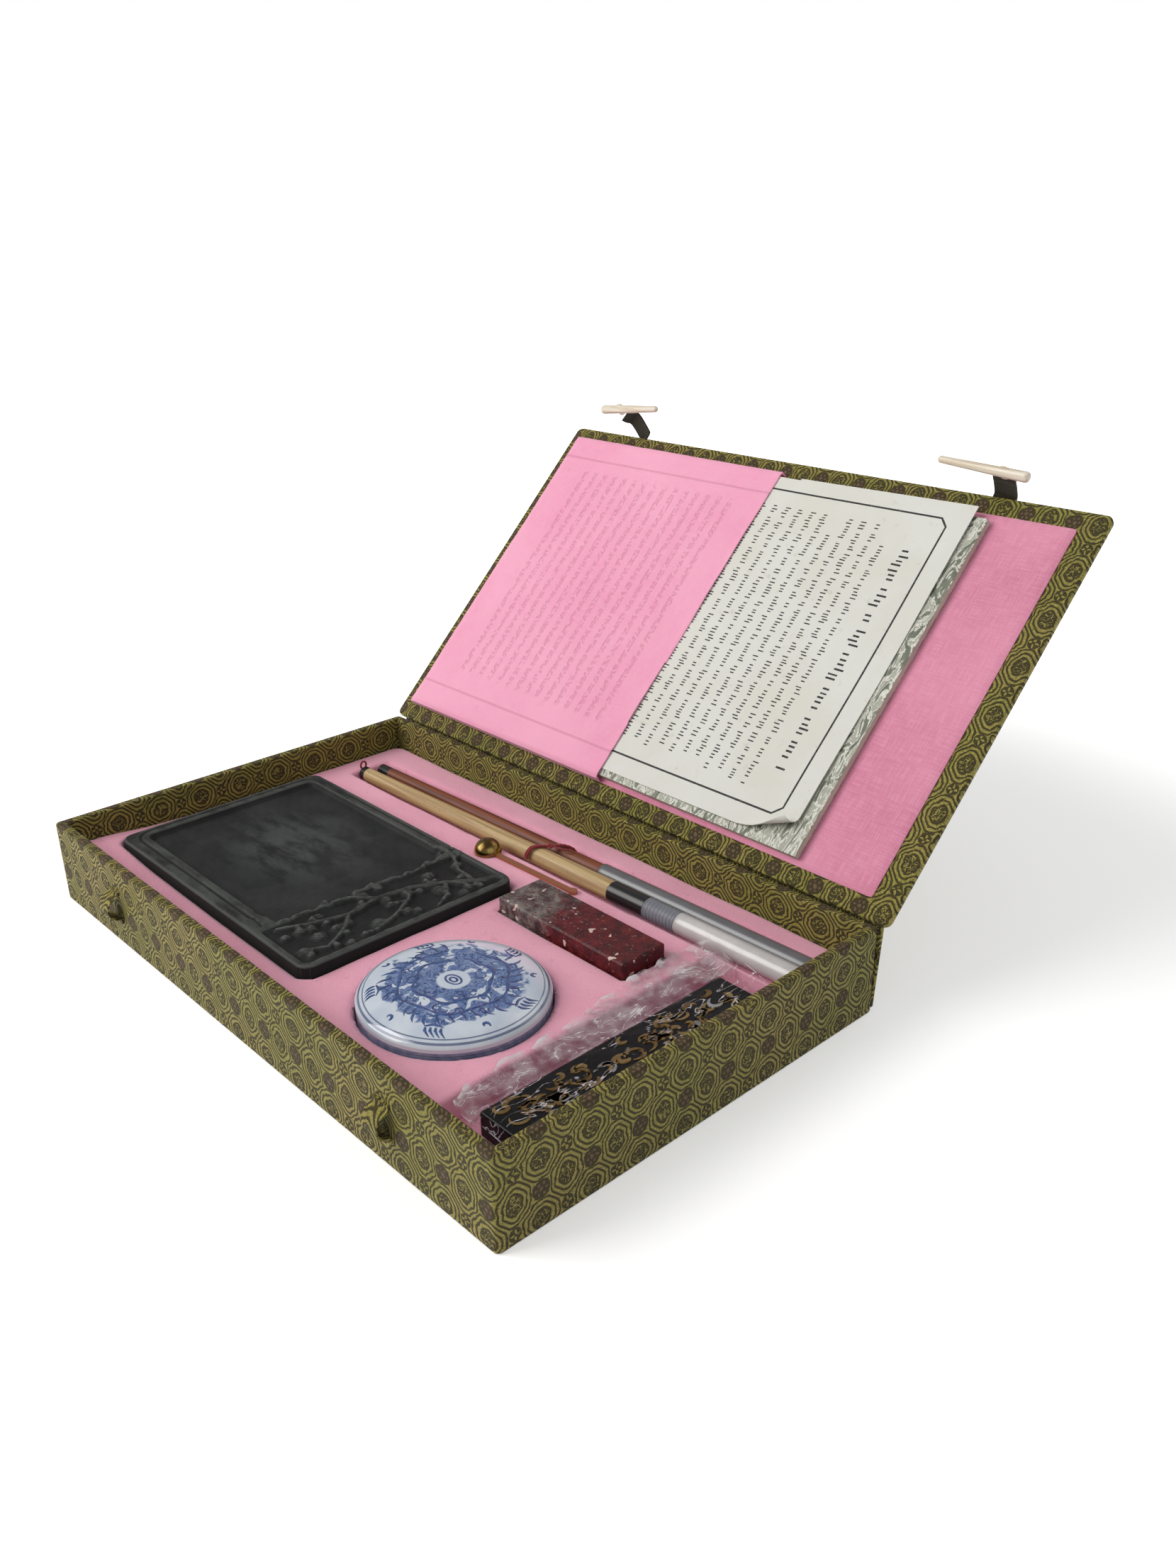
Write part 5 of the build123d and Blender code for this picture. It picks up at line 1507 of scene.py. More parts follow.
@dataclass
class Spine:
    """The narrow back flap, hinged to the tray and to the lid by cloth."""

    half_x: float = 139.0
    length: float = 31.6
    thick: float = 1.6
    hinge_cloth: float = 0.3
    hinge_inset: float = 1.0
    divisions: tuple[int, int] = (56, 8)

    def build(self) -> None:
        """Makes the flap's skin and the two cloth hinges."""
        half = self.thick / 2
        rings = []
        levels = [(0.35, -half), (0.08, -half + 0.2), (0.0, -half + 0.45),
                  (0.0, half - 0.45), (0.08, half - 0.2), (0.35, half)]
        for inset, out in levels:
            ring = rounded_ring(self.half_x, self.length / 2, 0.5, inset, self.divisions, 3)
            ring[:, 1] += self.length / 2
            rings.append(np.column_stack([ring, np.full(len(ring), out)]))
        shape = loft(rings)
        shape.plan = shape.points[:, :2].copy()
        skin = make_piece("spine_brocade_skin", shape, Finishes.brocade, Body.SPINE, SPINE_FACE)
        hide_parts("spine_brocade")
        dress("spine_board", Finishes.card)
        self.hinge("tray_hinge_cloth", Body.TRAY, Body.SPINE,
                   [(80.5, 0.17), (83.6, 0.16), (85.2, 0.16), (86.3, 0.24), (87.0, 0.62),
                    (87.22, 1.6), (87.4, 3.2), (87.63, 6.0)])
        self.hinge("lid_hinge_cloth", Body.SPINE, Body.LID,
                   [(89.52, 26.4), (89.72, 29.0), (89.9, 31.0), (90.08, 32.4), (90.4, 33.8),
                    (91.05, 35.1), (92.1, 36.42), (94.2, 38.5)])

    def hinge(self, name: str, first: Body, second: Body,
              path: list[Pair]) -> None:
        """Makes one cloth hinge, which rides on no body.

        Args:
            name: The piece's name.
            first: The body at its start; not used.
            second: The body at its end; not used.
            path: Its section as pairs of Y and Z.
        """
        width = 2 * (self.half_x - self.hinge_inset)
        points = spline([(0.0, y, z) for y, z in path], 26)
        shape = strip(points, ACROSS, width, self.hinge_cloth, 3.0, 40)
        cloth = make_piece(name, shape, Finishes.brocade, None)
        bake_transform(cloth)


@dataclass
class Lid:
    """The leaning lid with its brocade, pink lining and half pocket."""

    half_x: float = 142.4
    length: float = 172.0
    thick: float = 3.0
    corner: float = 3.0
    edge: float = 0.9
    lining: Rect = (-135.6, 132.0, 7.5, 163.5)
    lining_top: float = 1.2
    pocket_end: float = -2.6
    pocket_slope: float = 1.2
    pocket_top: float = 5.45
    pocket_cloth: float = 0.45
    papers: Triple = (-129.5, 9.5, 161.0)
    figure_shift: Pair = (6.0, -3.4)
    divisions: tuple[int, int] = (70, 42)

    def board_skin(self) -> Shape:
        """Builds the brocade round the lid's board."""
        rings, e = [], self.edge
        arc = [(e - e * math.cos(a), -e + e * math.sin(a)) for a in np.radians([0, 30, 60, 90])]
        levels = [(i, -self.thick - h) for i, h in reversed(arc)] + arc
        for inset, h in levels:
            ring = rounded_ring(self.half_x, self.length / 2, self.corner, inset, self.divisions)
            wave = 0.12 * ripple(ring[:, 0], ring[:, 1], 80.0, 4.1)
            ring[:, 1] += self.length / 2
            rings.append(np.column_stack([ring, h + wave * (inset > 0.5) * 0.4]))
        shape = loft(rings)
        shape.plan = shape.points[:, :2] + self.figure_shift
        return shape

    def lining_height(self, x: Array, y: Array) -> Array:
        """Gives the lining's face, pulled down at its edges and a little slack."""
        d = rounded_box(self.lining, 0.8)(x, y)
        pucker = 0.10 * np.sin(x * 0.9 + 2 * np.sin(x * 0.11)) * np.exp(d / 5.0)
        slack = 0.16 * ripple(x, y, 60.0, 0.7)
        return self.lining_top + slack - bevel(d, 1.1, 0.9) + pucker * (d < -0.4)

    def pocket_edge(self, y: Array) -> Array:
        """Gives the pocket mouth's place along the lid's length."""
        _, _, y0, y1 = self.lining
        slope = self.pocket_slope * (1 - (y - y0) / (y1 - y0))
        return self.pocket_end - slope + 0.3 * np.sin(y * 0.07)

    def pocket_height(self, x: Array, y: Array) -> Array:
        """Gives the pocket's face, which swells over the papers in it."""
        x0, _, y0, y1 = self.lining
        mouth = self.pocket_edge(y)
        rise = np.ones_like(x)
        for side, run, first in ((x - x0, 5.0, 0.1), (y - y0, 2.2, 0.72), (y1 - y, 1.6, 0.86)):
            t = unit(side / run)
            rise = np.minimum(rise, first + (1 - first) * t * (2 - t))
        base = self.lining_top + 0.35
        h = base + (self.pocket_top - base) * rise
        # The papers' frame and edges show through as faint ridges.
        left, low, top = self.papers
        for line, across in ((left + 12.0, x), (low + 10.5, y), (top - 10.5, y)):
            h = h + 0.12 * np.exp(-(((across - line) / 0.9) ** 2)) * rise
        ridge = np.minimum(np.abs(x - left), np.minimum(np.abs(y - low), np.abs(y - top)))
        h = h + 0.16 * np.exp(-((ridge / 1.4) ** 2)) * rise
        sag = 0.26 * ripple(x, y, 85.0, 5.3) + 0.10 * ripple(x, y, 17.0, 1.9)
        hem = 0.35 * np.exp(-(((mouth - x) / 1.6) ** 2))
        t = unit(1 - (mouth - x) / 0.7)
        return h + sag * rise + hem - 0.3 * t * t

    def pocket_under(self, x: Array, y: Array) -> Array:
        """Gives the pocket's underside, which meets the lining on three sides."""
        x0, _, y0, y1 = self.lining
        side = np.minimum(np.minimum(x - x0, y - y0), y1 - y)
        return np.where(side < 0.3, self.lining_top - 0.2,
                        self.pocket_height(x, y) - self.pocket_cloth)

    def build(self) -> None:
        """Makes the skin, the lining and the pocket."""
        skin = make_piece("lid_brocade_skin", self.board_skin(), Finishes.brocade, Body.LID,
                          LID_FACE, sharp=50)
        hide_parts("lid_brocade")
        x0, x1, y0, y1 = self.lining
        lining = Relief(rounded_box(self.lining, 0.8), self.lining_height, (x0, y0),
                        (x1, y1), 1.6, 0.02)
        cloth = make_piece("lining_pink_cloth", lining.shape(), Finishes.pink_cloth, Body.LID,
                           LID_FACE)
        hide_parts("lining_cloth", "lining_card")
        bottom, top = self.pocket_edge(np.array([y0, y1]))
        outline = convex([(x0, y0), (bottom, y0), (top, y1), (x0, y1)])
        pocket = Relief(outline, self.pocket_height, (x0, y0), (max(bottom, top), y1), 1.0,
                        self.pocket_under)
        front = make_piece("pocket_pink_cloth", pocket.shape(), Finishes.pocket_cloth, Body.LID,
                           LID_FACE)
        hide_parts("pocket")
        (max(bottom, top) - x0) * MM
        dress("lid_board", Finishes.card)


@dataclass
class Papers:
    """The printed leaflet and the writing pad in the lid's pocket."""

    leaflet: Rect = (-128.0, 93.5, 12.0, 162.8)
    hidden_low: float = 160.6
    leaflet_under: float = 4.5
    leaflet_thick: float = 0.3
    curl_from: tuple[Pair, Pair] = ((68.0, 12.0), (93.5, 23.0))
    curl_radius: float = 3.1
    frame_low: float = 21.0
    frame_high: float = 155.0
    frame_right: float = 85.0
    frame_cut: float = 3.5
    frame_line: float = 0.95
    frame_left: float = -119.5
    print_rows: int = 28
    seed: int = 7

    def sheet_height(self, x: Array, y: Array) -> Array:
        """Gives the leaflet's face before its corner is curled, with soft waves."""
        free = unit((x - 20.0) / 70.0)
        wave = 0.5 * free * (1 + np.sin(y * 0.045 + 0.6))
        return self.leaflet_under + self.leaflet_thick + wave

    def curled(self, points: Array) -> Array:
        """Rolls the lower right corner up and over.

        Args:
            points: Points of the flat sheet.

        Returns:
            The same points on the curled sheet.
        """
        (ax, ay), (bx, by) = self.curl_from
        out = np.array([by - ay, ax - bx]) / math.hypot(bx - ax, by - ay)
        over = np.maximum((points[:, :2] - [ax, ay]) @ out, 0.0)
        angle = over / self.curl_radius
        above = points[:, 2] - self.leaflet_under
        moved = points.copy()
        bent = (self.curl_radius - above) * np.sin(angle)
        moved[:, :2] -= np.outer(over - np.where(over > 0, bent, 0.0), out)
        moved[:, 2] += (self.curl_radius - above) * (1 - np.cos(angle))
        return moved

    def stroke(self, flat: Sequence[Pair], width: float, every: float = 1.5) -> Shape:
        """Prints one line on the leaflet.

        Args:
            flat: Its corner points on the sheet.
            width: Its width.
            every: Distance between its points.

        Returns:
            The shape.
        """
        corners = np.array(flat, float)
        pieces = []
        for a, b in zip(corners[:-1], corners[1:]):
            n = max(2, int(np.linalg.norm(b - a) / every) + 1)
            pieces.append(a + np.outer(np.linspace(0, 1, n), b - a)[: n - 1])
        path = np.vstack([*pieces, corners[-1:]])
        path = np.column_stack([path, self.sheet_height(path[:, 0], path[:, 1])])
        return ribbon(path, np.full(len(path), width), 0.03, 0.05,
                      np.tile([0.0, 0.0, 1.0], (len(path), 1)))

    def prints(self) -> Shape:
        """Builds the ruled frame and plain ticks where the lines of print stand."""
        lo, hi, r, c = self.frame_low, self.frame_high, self.frame_right, self.frame_cut
        left = self.frame_left
        strokes = [self.stroke([(left, lo), (r - c, lo), (r, lo + c), (r, hi - c), (r - c, hi),
                                (left, hi), (left, lo + 0.5)], self.frame_line)]
        rng = np.random.default_rng(self.seed)
        for row in range(self.print_rows):
            title = row == 0
            x = r - 11.0 - row * ROW_PITCH - (0.0 if title else 4.5)
            y = hi - 8.0 - (9.0 if row in (0, 1, 5, 12, 20) else 0.0)
            stop = lo + (17.0 if title else 5.0 + 6.0 * rng.random())
            big = 2.5 if title else 1.55
            while y > stop:
                for _ in range(int(rng.integers(2, 8))):
                    tall = big * rng.choice([1.0, 1.0, 1.5]) * 1.15
                    shift = x + (tall - big) * 0.4 * rng.choice([-1.0, 1.0])
                    half, long = tall / 2, big * rng.uniform(0.3, 0.75)
                    strokes.append(self.stroke([(shift - half, y), (shift + half, y)],
                                             min(long, 0.4 * big), 9.0))
                    y -= long + 0.4 * big
                    if y < stop:
                        break
                y -= 0.9 * big
        return merged(strokes)

    def build(self) -> None:
        """Makes the leaflet and its print and dresses the pad."""
        x0, x1, y0, y1 = self.leaflet
        outline = convex([(x0, y0), (x1, y0 + 0.6), (x1, y1), (x0, self.hidden_low)])
        sheet = Relief(outline, self.sheet_height, (x0, y0), (x1, y1), 1.7,
                       lambda x, y: self.sheet_height(x, y) - self.leaflet_thick)
        shape = sheet.shape()
        shape.points = self.curled(shape.points)
        paper = make_piece("leaflet_sheet", shape, Finishes.leaflet_paper, Body.LEAFLET, LID_FACE)
        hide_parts("leaflet")
        make_piece("leaflet_print", self.prints(), Finishes.print_ink, Body.LEAFLET, LID_FACE)
        dress("pad_paper", Finishes.page_edges)
        dress("pad_cover", Finishes.marbled)


@dataclass
class Fastening:
    """One peg on its cloth tape at the lid's free edge."""

    side: str
    root_x: float
    peg: Triple
    bow: float
    short: float
    finish: Finish
    width: float = 9.4
    thick: float = 0.8
    fold: Pair = (209.546, 154.796)

    def build(self) -> None:
        """Makes the tape, from the lid's edge to the peg's underside, and the peg."""
        root = np.array([self.root_x, *self.fold])
        tip = np.array(self.peg)
        toward = tip - root
        reach = np.linalg.norm(toward)
        toward /= reach
        up_lid = np.array(LID_FACE.along)
        start = root - up_lid * 2.4 - np.array(LID_FACE.out) * 0.2
        bend = root + up_lid * 1.0 + toward * 1.2
        middle = root + toward * reach * 0.5 + up_lid * self.bow
        near = root + toward * (reach - self.short - 2.2) + up_lid * self.bow * 0.35
        end = root + toward * (reach - self.short)
        path = spline([start, root, bend, middle, near, end], 30)
        across = direction(np.cross(toward, np.cross(ACROSS, toward)))
        shape = strip(path, across, self.width, self.thick, 7.0, 10, 0.25)
        tape = make_piece(f"tape_{self.side}_cloth", shape, self.finish, None)
        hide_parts(f"tape_{self.side}")
        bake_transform(tape)
        dress(f"peg_{self.side}", Finishes.bone)


@dataclass
class Inkstone:
    """The carved slate slab with its sunken well."""

    sides: Rect = (-126.5, 13.5, -64.95, 28.55)
    under: float = 9.2
    top: float = 25.2
    corner: float = 5.0
    edge: float = 1.2
    well: Rect = (-121.0, -20.0, -56.45, 23.05)
    well_deep: float = 2.2
    step: float = 0.62
    seed: int = 5
    branches: tuple[tuple[Triple, ...], ...] = (
        ((8.0, 27.0, 2.0), (4.0, 17.0, 1.9), (-3.0, 8.0, 1.8), (-9.0, -4.0, 1.7),
        (-11.0, -18.0, 1.5), (-8.0, -32.0, 1.4), (-12.0, -46.0, 1.2), (-17.0, -57.0, 0.9)),
        ((-9.0, -4.0, 1.2), (-2.0, -10.0, 1.1), (4.0, -20.0, 1.0), (8.0, -31.0, 0.8)),
        ((4.0, 17.0, 1.1), (-8.0, 18.0, 1.0), (-17.0, 23.0, 0.8), (-28.0, 25.0, 0.7)),
        ((-11.0, -18.0, 1.0), (-17.0, -24.0, 0.9), (-20.0, -34.0, 0.8)),
        ((-8.0, -32.0, 1.0), (0.0, -40.0, 0.9), (6.0, -50.0, 0.8), (2.0, -58.0, 0.7)),
        ((-3.0, 8.0, 0.9), (4.0, 4.0, 0.8), (9.0, -4.0, 0.7)))
    blossoms: tuple[Triple, ...] = (
        (-12.5, 7.0, 3.4), (3.6, -27.0, 3.2), (-3.0, -48.0, 3.3), (-14.5, -41.0, 2.8),
        (7.5, 9.0, 2.9), (-20.0, 20.5, 2.6), (6.5, -12.0, 2.6), (-4.0, -16.5, 2.5),
        (-10.0, -57.5, 2.6), (8.5, -42.0, 2.4), (-17.5, -12.5, 2.5))

    def outline(self) -> Field:
        """Gives the slab's outline."""
        return rounded_box(self.sides, self.corner)

    def grown(self) -> tuple[list, list]:
        """Adds side twigs to the branches, and a blossom or a bud to each twig."""
        rng = np.random.default_rng(self.seed)
        branches, blossoms = list(self.branches), list(self.blossoms)
        for branch in self.branches:
            for (ax, ay, _), (bx, by, _) in zip(branch[:-1], branch[1:]):
                for _ in range(2):
                    t, turn = rng.random(), rng.uniform(0, math.tau)
                    x, y = ax + (bx - ax) * t, ay + (by - ay) * t
                    run = rng.uniform(2.5, 5.0)
                    ex, ey = x + run * math.cos(turn), y + run * math.sin(turn)
                    branches.append(((x, y, 0.9), (ex, ey, 0.7)))
                    blossoms.append((ex, ey, rng.uniform(1.5, 3.0)))
        return branches, blossoms

    def strokes(self, x: Array, y: Array) -> Array:
        """Gives the height of the carved branches and blossoms."""
        z = np.zeros_like(x)
        branches, blossoms = self.grown()
        for branch in branches:
            for (ax, ay, ar), (bx, by, br) in zip(branch[:-1], branch[1:]):
                vx, vy = bx - ax, by - ay
                t = unit(((x - ax) * vx + (y - ay) * vy) / (vx * vx + vy * vy))
                r = ar + (br - ar) * t
                d = np.hypot(x - ax - t * vx, y - ay - t * vy)
                knot = 1 + 0.25 * np.sin(t * 9 + ax)
                z = np.maximum(z, 1.35 * np.sqrt(unit(1 - (d / (r * knot)) ** 2)))
        for cx, cy, r in blossoms:
            dx, dy = x - cx, y - cy
            far, turn = np.hypot(dx, dy), np.arctan2(dy, dx) + cx
            rim = r * (0.78 + 0.22 * np.abs(np.cos(2.5 * turn)))
            petal = 1.25 * np.sqrt(unit(1 - (far / rim) ** 2))
            groove = 0.5 * np.exp(-((np.abs(np.sin(2.5 * turn)) * far / 0.5) ** 2))
            heart = 0.7 * np.exp(-((far / 0.8) ** 2))
            z = np.maximum(z, np.where(far < rim, petal - groove * (far > 0.8) + heart * 0.4, 0))
        return z

    def height(self, x: Array, y: Array) -> Array:
        """Gives the slab's top: rim mouldings, the well and the carving."""
        d = self.outline()(x, y)
        z = self.top - bevel(d, self.edge, self.edge)
        well_end = self.well[1]
        w = rounded_box(self.well, 4.0)(x, y)
        w = w + 1.5 * ripple(x, y, 15.0, 2.0) * unit((x + 34.0) / 8.0)
        # A bead runs round the well inside the outer rim.
        z = z - 0.75 * (unit((w - 2.3) / 0.5) - unit((w - 3.3) / 0.5)) * (x < well_end - 2)
        drop = unit(-w / 1.6)
        dish = 0.5 * unit(-w / 26.0)
        z = z - self.well_deep * drop * drop * (3 - 2 * drop) - dish
        carved = unit((x - well_end - 0.5) / 2.0)
        lowered = 1.3 * carved * unit(-(d + 2.6) / 0.8)
        figure = self.strokes(x, y)
        inside = unit(-(d + 0.8) / 1.0)
        near = unit((x + 32.0) / 5.0)
        z = z - lowered + figure * inside * near * 1.15
        rope = np.exp(-(((w - 0.9) / 0.75) ** 2)) * unit((x + 30.0) / 6.0)
        z = z + 0.8 * rope * (0.65 + 0.35 * np.sin(y * 1.7 + 2 * np.sin(y * 0.5))) * inside
        z = z + 0.10 * ripple(x, y, 9.0, 3.3) * unit(-d - 0.5)
        return np.minimum(z, self.top + 0.55)

    def build(self) -> None:
        """Makes the stone."""
        x0, x1, y0, y1 = self.sides
        relief = Relief(self.outline(), self.height, (x0, y0), (x1, y1), self.step, self.under)
        stone = make_piece("inkstone_carved_slab", relief.shape(), Finishes.slate,
                           Body.INKSTONE, sharp=75)
        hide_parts("inkstone")


@dataclass
class PasteBox:
    """The round porcelain paste box with its painted lid."""

    centre: Pair = (58.0, -34.98)
    rim_z: float = 21.5
    paint_lift: float = 0.05
    gap_at: float = 2.0
    gap_half: float = 0.42
    seed: int = 11

    def dome(self, flat: Array) -> tuple[Array, Array]:
        """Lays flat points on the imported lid's face and gives their normals.

        Args:
            flat: Points from the lid's middle.

        Returns:
            The points on the glaze, and the normals there.
        """
        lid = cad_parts["paste_box_lid"]
        spots, outs = [], []
        for x, y in flat:
            above = Vector(((x + self.centre[0]) * MM, (y + self.centre[1]) * MM, 0.05))
            hit, place, normal, _ = lid.ray_cast(above, Vector((0, 0, -1)), distance=0.1)
            spots.append(place / MM if hit else Vector((above.x / MM, above.y / MM, self.rim_z)))
            outs.append(normal if hit and normal.z > 0 else Vector((0, 0, 1)))
        return np.array(spots), np.array(outs)

    def brush(self, flat: Array, width: float, taper: float = 0.8) -> Shape:
        """Paints one stroke that swells and thins.

        Args:
            flat: Points from the lid's middle.
            width: Its width at its widest.
            taper: How far its ends thin.

        Returns:
            The stroke.
        """
        t = np.linspace(0, 1, len(flat))
        widths = width * (1 - taper * np.abs(2 * t - 0.8) ** 1.6)
        path, out = self.dome(flat)
        return ribbon(path, np.maximum(widths, width * 0.15), self.paint_lift, 0.12, out)

    def curl(self, at: Array, turn: float, size: float, width: float) -> Shape:
        """Paints one scroll."""
        t = np.linspace(0, 1, 22)
        return self.brush(at + polar(size * (1 - 0.82 * t), turn + t * 4.6), width)

    def comb(self, angle: float, out: float) -> list[Shape]:
        """Paints a little cloud of four leaning strokes near the rim."""
        ahead, side = polar(1.0, angle), polar(1.0, angle + math.pi / 2)
        made = []
        for shift in (-2.55, -0.85, 0.85, 2.55):
            base = ahead * out + side * shift
            tip = base + ahead * 3.6 + side * 2.0
            bend = (base + tip) / 2 - side * 0.7
            made.append(self.brush(spline([base, bend, tip], 7), 1.35, 0.7))
        base, end = ahead * (out - 0.4) - side * 3.0, ahead * (out - 0.2) + side * 3.4
        mid = (base + end) / 2 - ahead * 0.9
        made.append(self.brush(spline([base, mid, end], 9), 1.1, 0.6))
        return made

    def in_gap(self, angle: float) -> bool:
        """Tells whether an angle lies in the opening of the ring of clouds."""
        return abs((angle - self.gap_at + math.pi) % math.tau - math.pi) < self.gap_half

    def painting(self) -> Shape:
        """Builds a ring of scrolling clouds round a ringed pearl, and rim sprigs."""
        rng = np.random.default_rng(self.seed)
        made: list[Shape] = []
        for _ in range(30):
            angle = rng.uniform(0, math.tau)
            out = rng.uniform(9.5, 21.5)
            if self.in_gap(angle) and out > 10:
                continue
            size = rng.uniform(1.8, 3.4)
            made.append(self.curl(polar(out, angle), rng.uniform(0, math.tau), size,
                                  rng.uniform(0.9, 1.7)))
        for angle in np.arange(34) / 34 * math.tau:
            if self.in_gap(angle):
                continue
            out = 22.0 + 1.6 * math.sin(5 * angle + 1)
            ahead, side = polar(1.0, angle), polar(1.0, angle + math.pi / 2)
            made.append(self.brush(spline([
                ahead * (out - 3), ahead * out + side * 0.9,
                ahead * (out + 1.8) + side * 2.4], 8), 1.3))
        for out, width in ((13.0, 1.8), (18.6, 1.7)):
            for start in np.arange(2.6, 2.6 + 5.3, 0.52):
                t = np.linspace(start, start + 0.62, 10)
                made.append(self.brush(polar(out + 0.8 * np.sin(t * 6 + out), t), width, 0.6))
        for r, width in ((2.6, 0.9), (1.2, 1.0)):
            ring = polar(r, np.linspace(0, math.tau, 48)) * (1.25, 0.85)
            made.append(self.brush(ring, width, 0.1))
        for angle in np.arange(0.35, math.tau, math.tau / 5):
            made += self.comb(angle, 25.6)
        for angle in np.arange(0.98, math.tau, math.tau / 5):
            made.append(self.curl(polar(26.8, angle), angle + 1.0, 1.5, 1.4))
        return merged(made)

    def build(self) -> None:
        """Dresses the box and paints its lid."""
        dress("paste_box_base", Finishes.porcelain)
        dress("paste_box_lid", Finishes.painted_porcelain)
        dress("seal_paste", Finishes.cinnabar)
        make_piece("paste_lid_brushwork", self.painting(), Finishes.blue_paint,
                   Body.PASTE_LID, sharp=80)


@dataclass
class Seal:
    """The uncut seal block."""

    def build(self) -> None:
        """Dresses the block in soapstone."""
        dress("seal_stone", Finishes.seal_stone)


@dataclass
class InkStick:
    """The ink stick with its gilded relief, in a crinkled clear sleeve."""

    x0: float = 109.5
    x1: float = 131.5
    y0: float = -66.0
    y1: float = 38.0
    z0: float = 12.5
    z1: float = 21.5
    film: float = 0.12
    pocket_side: float = 133.6
    silver_share: float = 0.16
    seed: int = 23

    def gilding(self) -> tuple[Shape, Shape]:
        """Builds the raised scrolls on the stick: gilded ones and silvered ones."""
        rng = np.random.default_rng(self.seed)
        gold: list[Shape] = []
        silver: list[Shape] = []
        up = np.array([0.0, 0.0, 1.0])
        for k in range(64):
            y = rng.uniform(self.y0 + 6, self.y1 - 6)
            x = rng.uniform(self.x0 + 3.5, self.x1 - 6.5)
            turn = rng.uniform(0, math.tau)
            size = rng.uniform(1.6, 3.4)
            t = np.linspace(0, 1, 14)
            angle = turn + t * 3.4
            r = size * (1 - 0.6 * t)
            path = np.column_stack([x + r * np.cos(angle), y + 1.5 * r * np.sin(angle),
                                    np.full(14, self.z1)])
            path[:, 0] = np.clip(path[:, 0], self.x0 + 2.0, self.x1 - 2.0)
            widths = rng.uniform(1.3, 2.6) * (1 - 0.75 * np.abs(2 * t - 1) ** 2)
            shape = ribbon(path, widths, 0.28, 0.2, np.tile(up, (14, 1)))
            (silver if rng.random() < self.silver_share else gold).append(shape)
        return merged(gold), merged(silver)

    def sleeve(self) -> Shape:
        """Builds the film: a loose tube with sharp folds and a flat wing over the block."""
        around, along = 96, 170
        rng = np.random.default_rng(self.seed + 1)
        cx, cz = (self.x0 + self.x1) / 2, (self.z0 + self.z1) / 2
        hx, hz = (self.x1 - self.x0) / 2 + 0.7, (self.z1 - self.z0) / 2 + 0.42
        a = np.arange(around)[None, :] * math.tau / around
        s = np.linspace(0, 1, along)[:, None]
        y = -70.0 + 120.0 * s + 0.0 * a
        ca, sa = np.cos(a), np.sin(a)
        fold = np.zeros_like(y)
        for _ in range(110):
            da = (a - rng.uniform(0, math.tau) - rng.uniform(-1.4, 1.4)
                  * (y - rng.uniform(-66, 46)) / 22 + math.pi) % math.tau - math.pi
            dy = (y - rng.uniform(-68, 48)) / rng.uniform(4, 17)
            fold += unit(1 - np.abs(da) / 0.34) * unit(1 - dy * dy)
        fold = np.minimum(fold, 2.2)
        open_end = unit((s - 0.9) / 0.1)
        pinch = unit((0.06 - s) / 0.06)
        x = cx + hx * np.sign(ca) * np.abs(ca) ** 0.35 + ca * fold * 0.3
        z = cz + hz * np.sign(sa) * np.abs(sa) ** 0.35 * (1 - 0.4 * pinch)
        z = z + fold * 0.5 * (sa > 0.1)
        wing = unit(1 - np.abs(a - 2.62) / 0.32)
        edge = np.interp(y, [-70, -57, -32, 11, 38, 50], [101, 97.5, 96.3, 91.2, 88.8, 92.5])
        edge = edge + 0.7 * np.sin(y * 0.31) + 0.4 * np.sin(y * 0.83)
        x = x - wing * (cx - hx - edge)
        lift = 22.3 + 0.5 * np.sin(y * 0.4 + 1) + 0.35 * fold
        z = z + (lift - z) * wing
        z = z + open_end * (4.0 * unit(sa) + 1.2 * np.sin(5 * a) * (sa > 0))
        y = y - open_end * np.clip((x - 94.0) * 0.3, 0, 12.0) + pinch * 1.6 * np.abs(
            np.sin(4.5 * a))
        z = np.where(sa < -0.2, np.maximum(z, self.z0 - 0.55), z)
        outer = np.stack([np.minimum(x, self.pocket_side), y, z], axis=-1)
        inward = np.array([cx, 0.0, cz]) - outer
        inward[..., 1] = 0
        inner = outer + direction(inward) * self.film
        return loft([*outer, *inner[::-1]], looped=True, capped=False)

    def build(self) -> None:
        """Makes the relief and the sleeve and dresses the stick."""
        dress("ink_stick", Finishes.ink)
        gold, silver = self.gilding()
        make_piece("ink_stick_gilt_relief", gold, Finishes.gilt, Body.INK)
        make_piece("ink_stick_silver_relief", silver, Finishes.silvered, Body.INK)
        sleeve = make_piece("ink_sleeve_film", self.sleeve(), Finishes.cellophane, Body.INK,
                            sharp=32)
        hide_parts("ink_stick_sleeve")


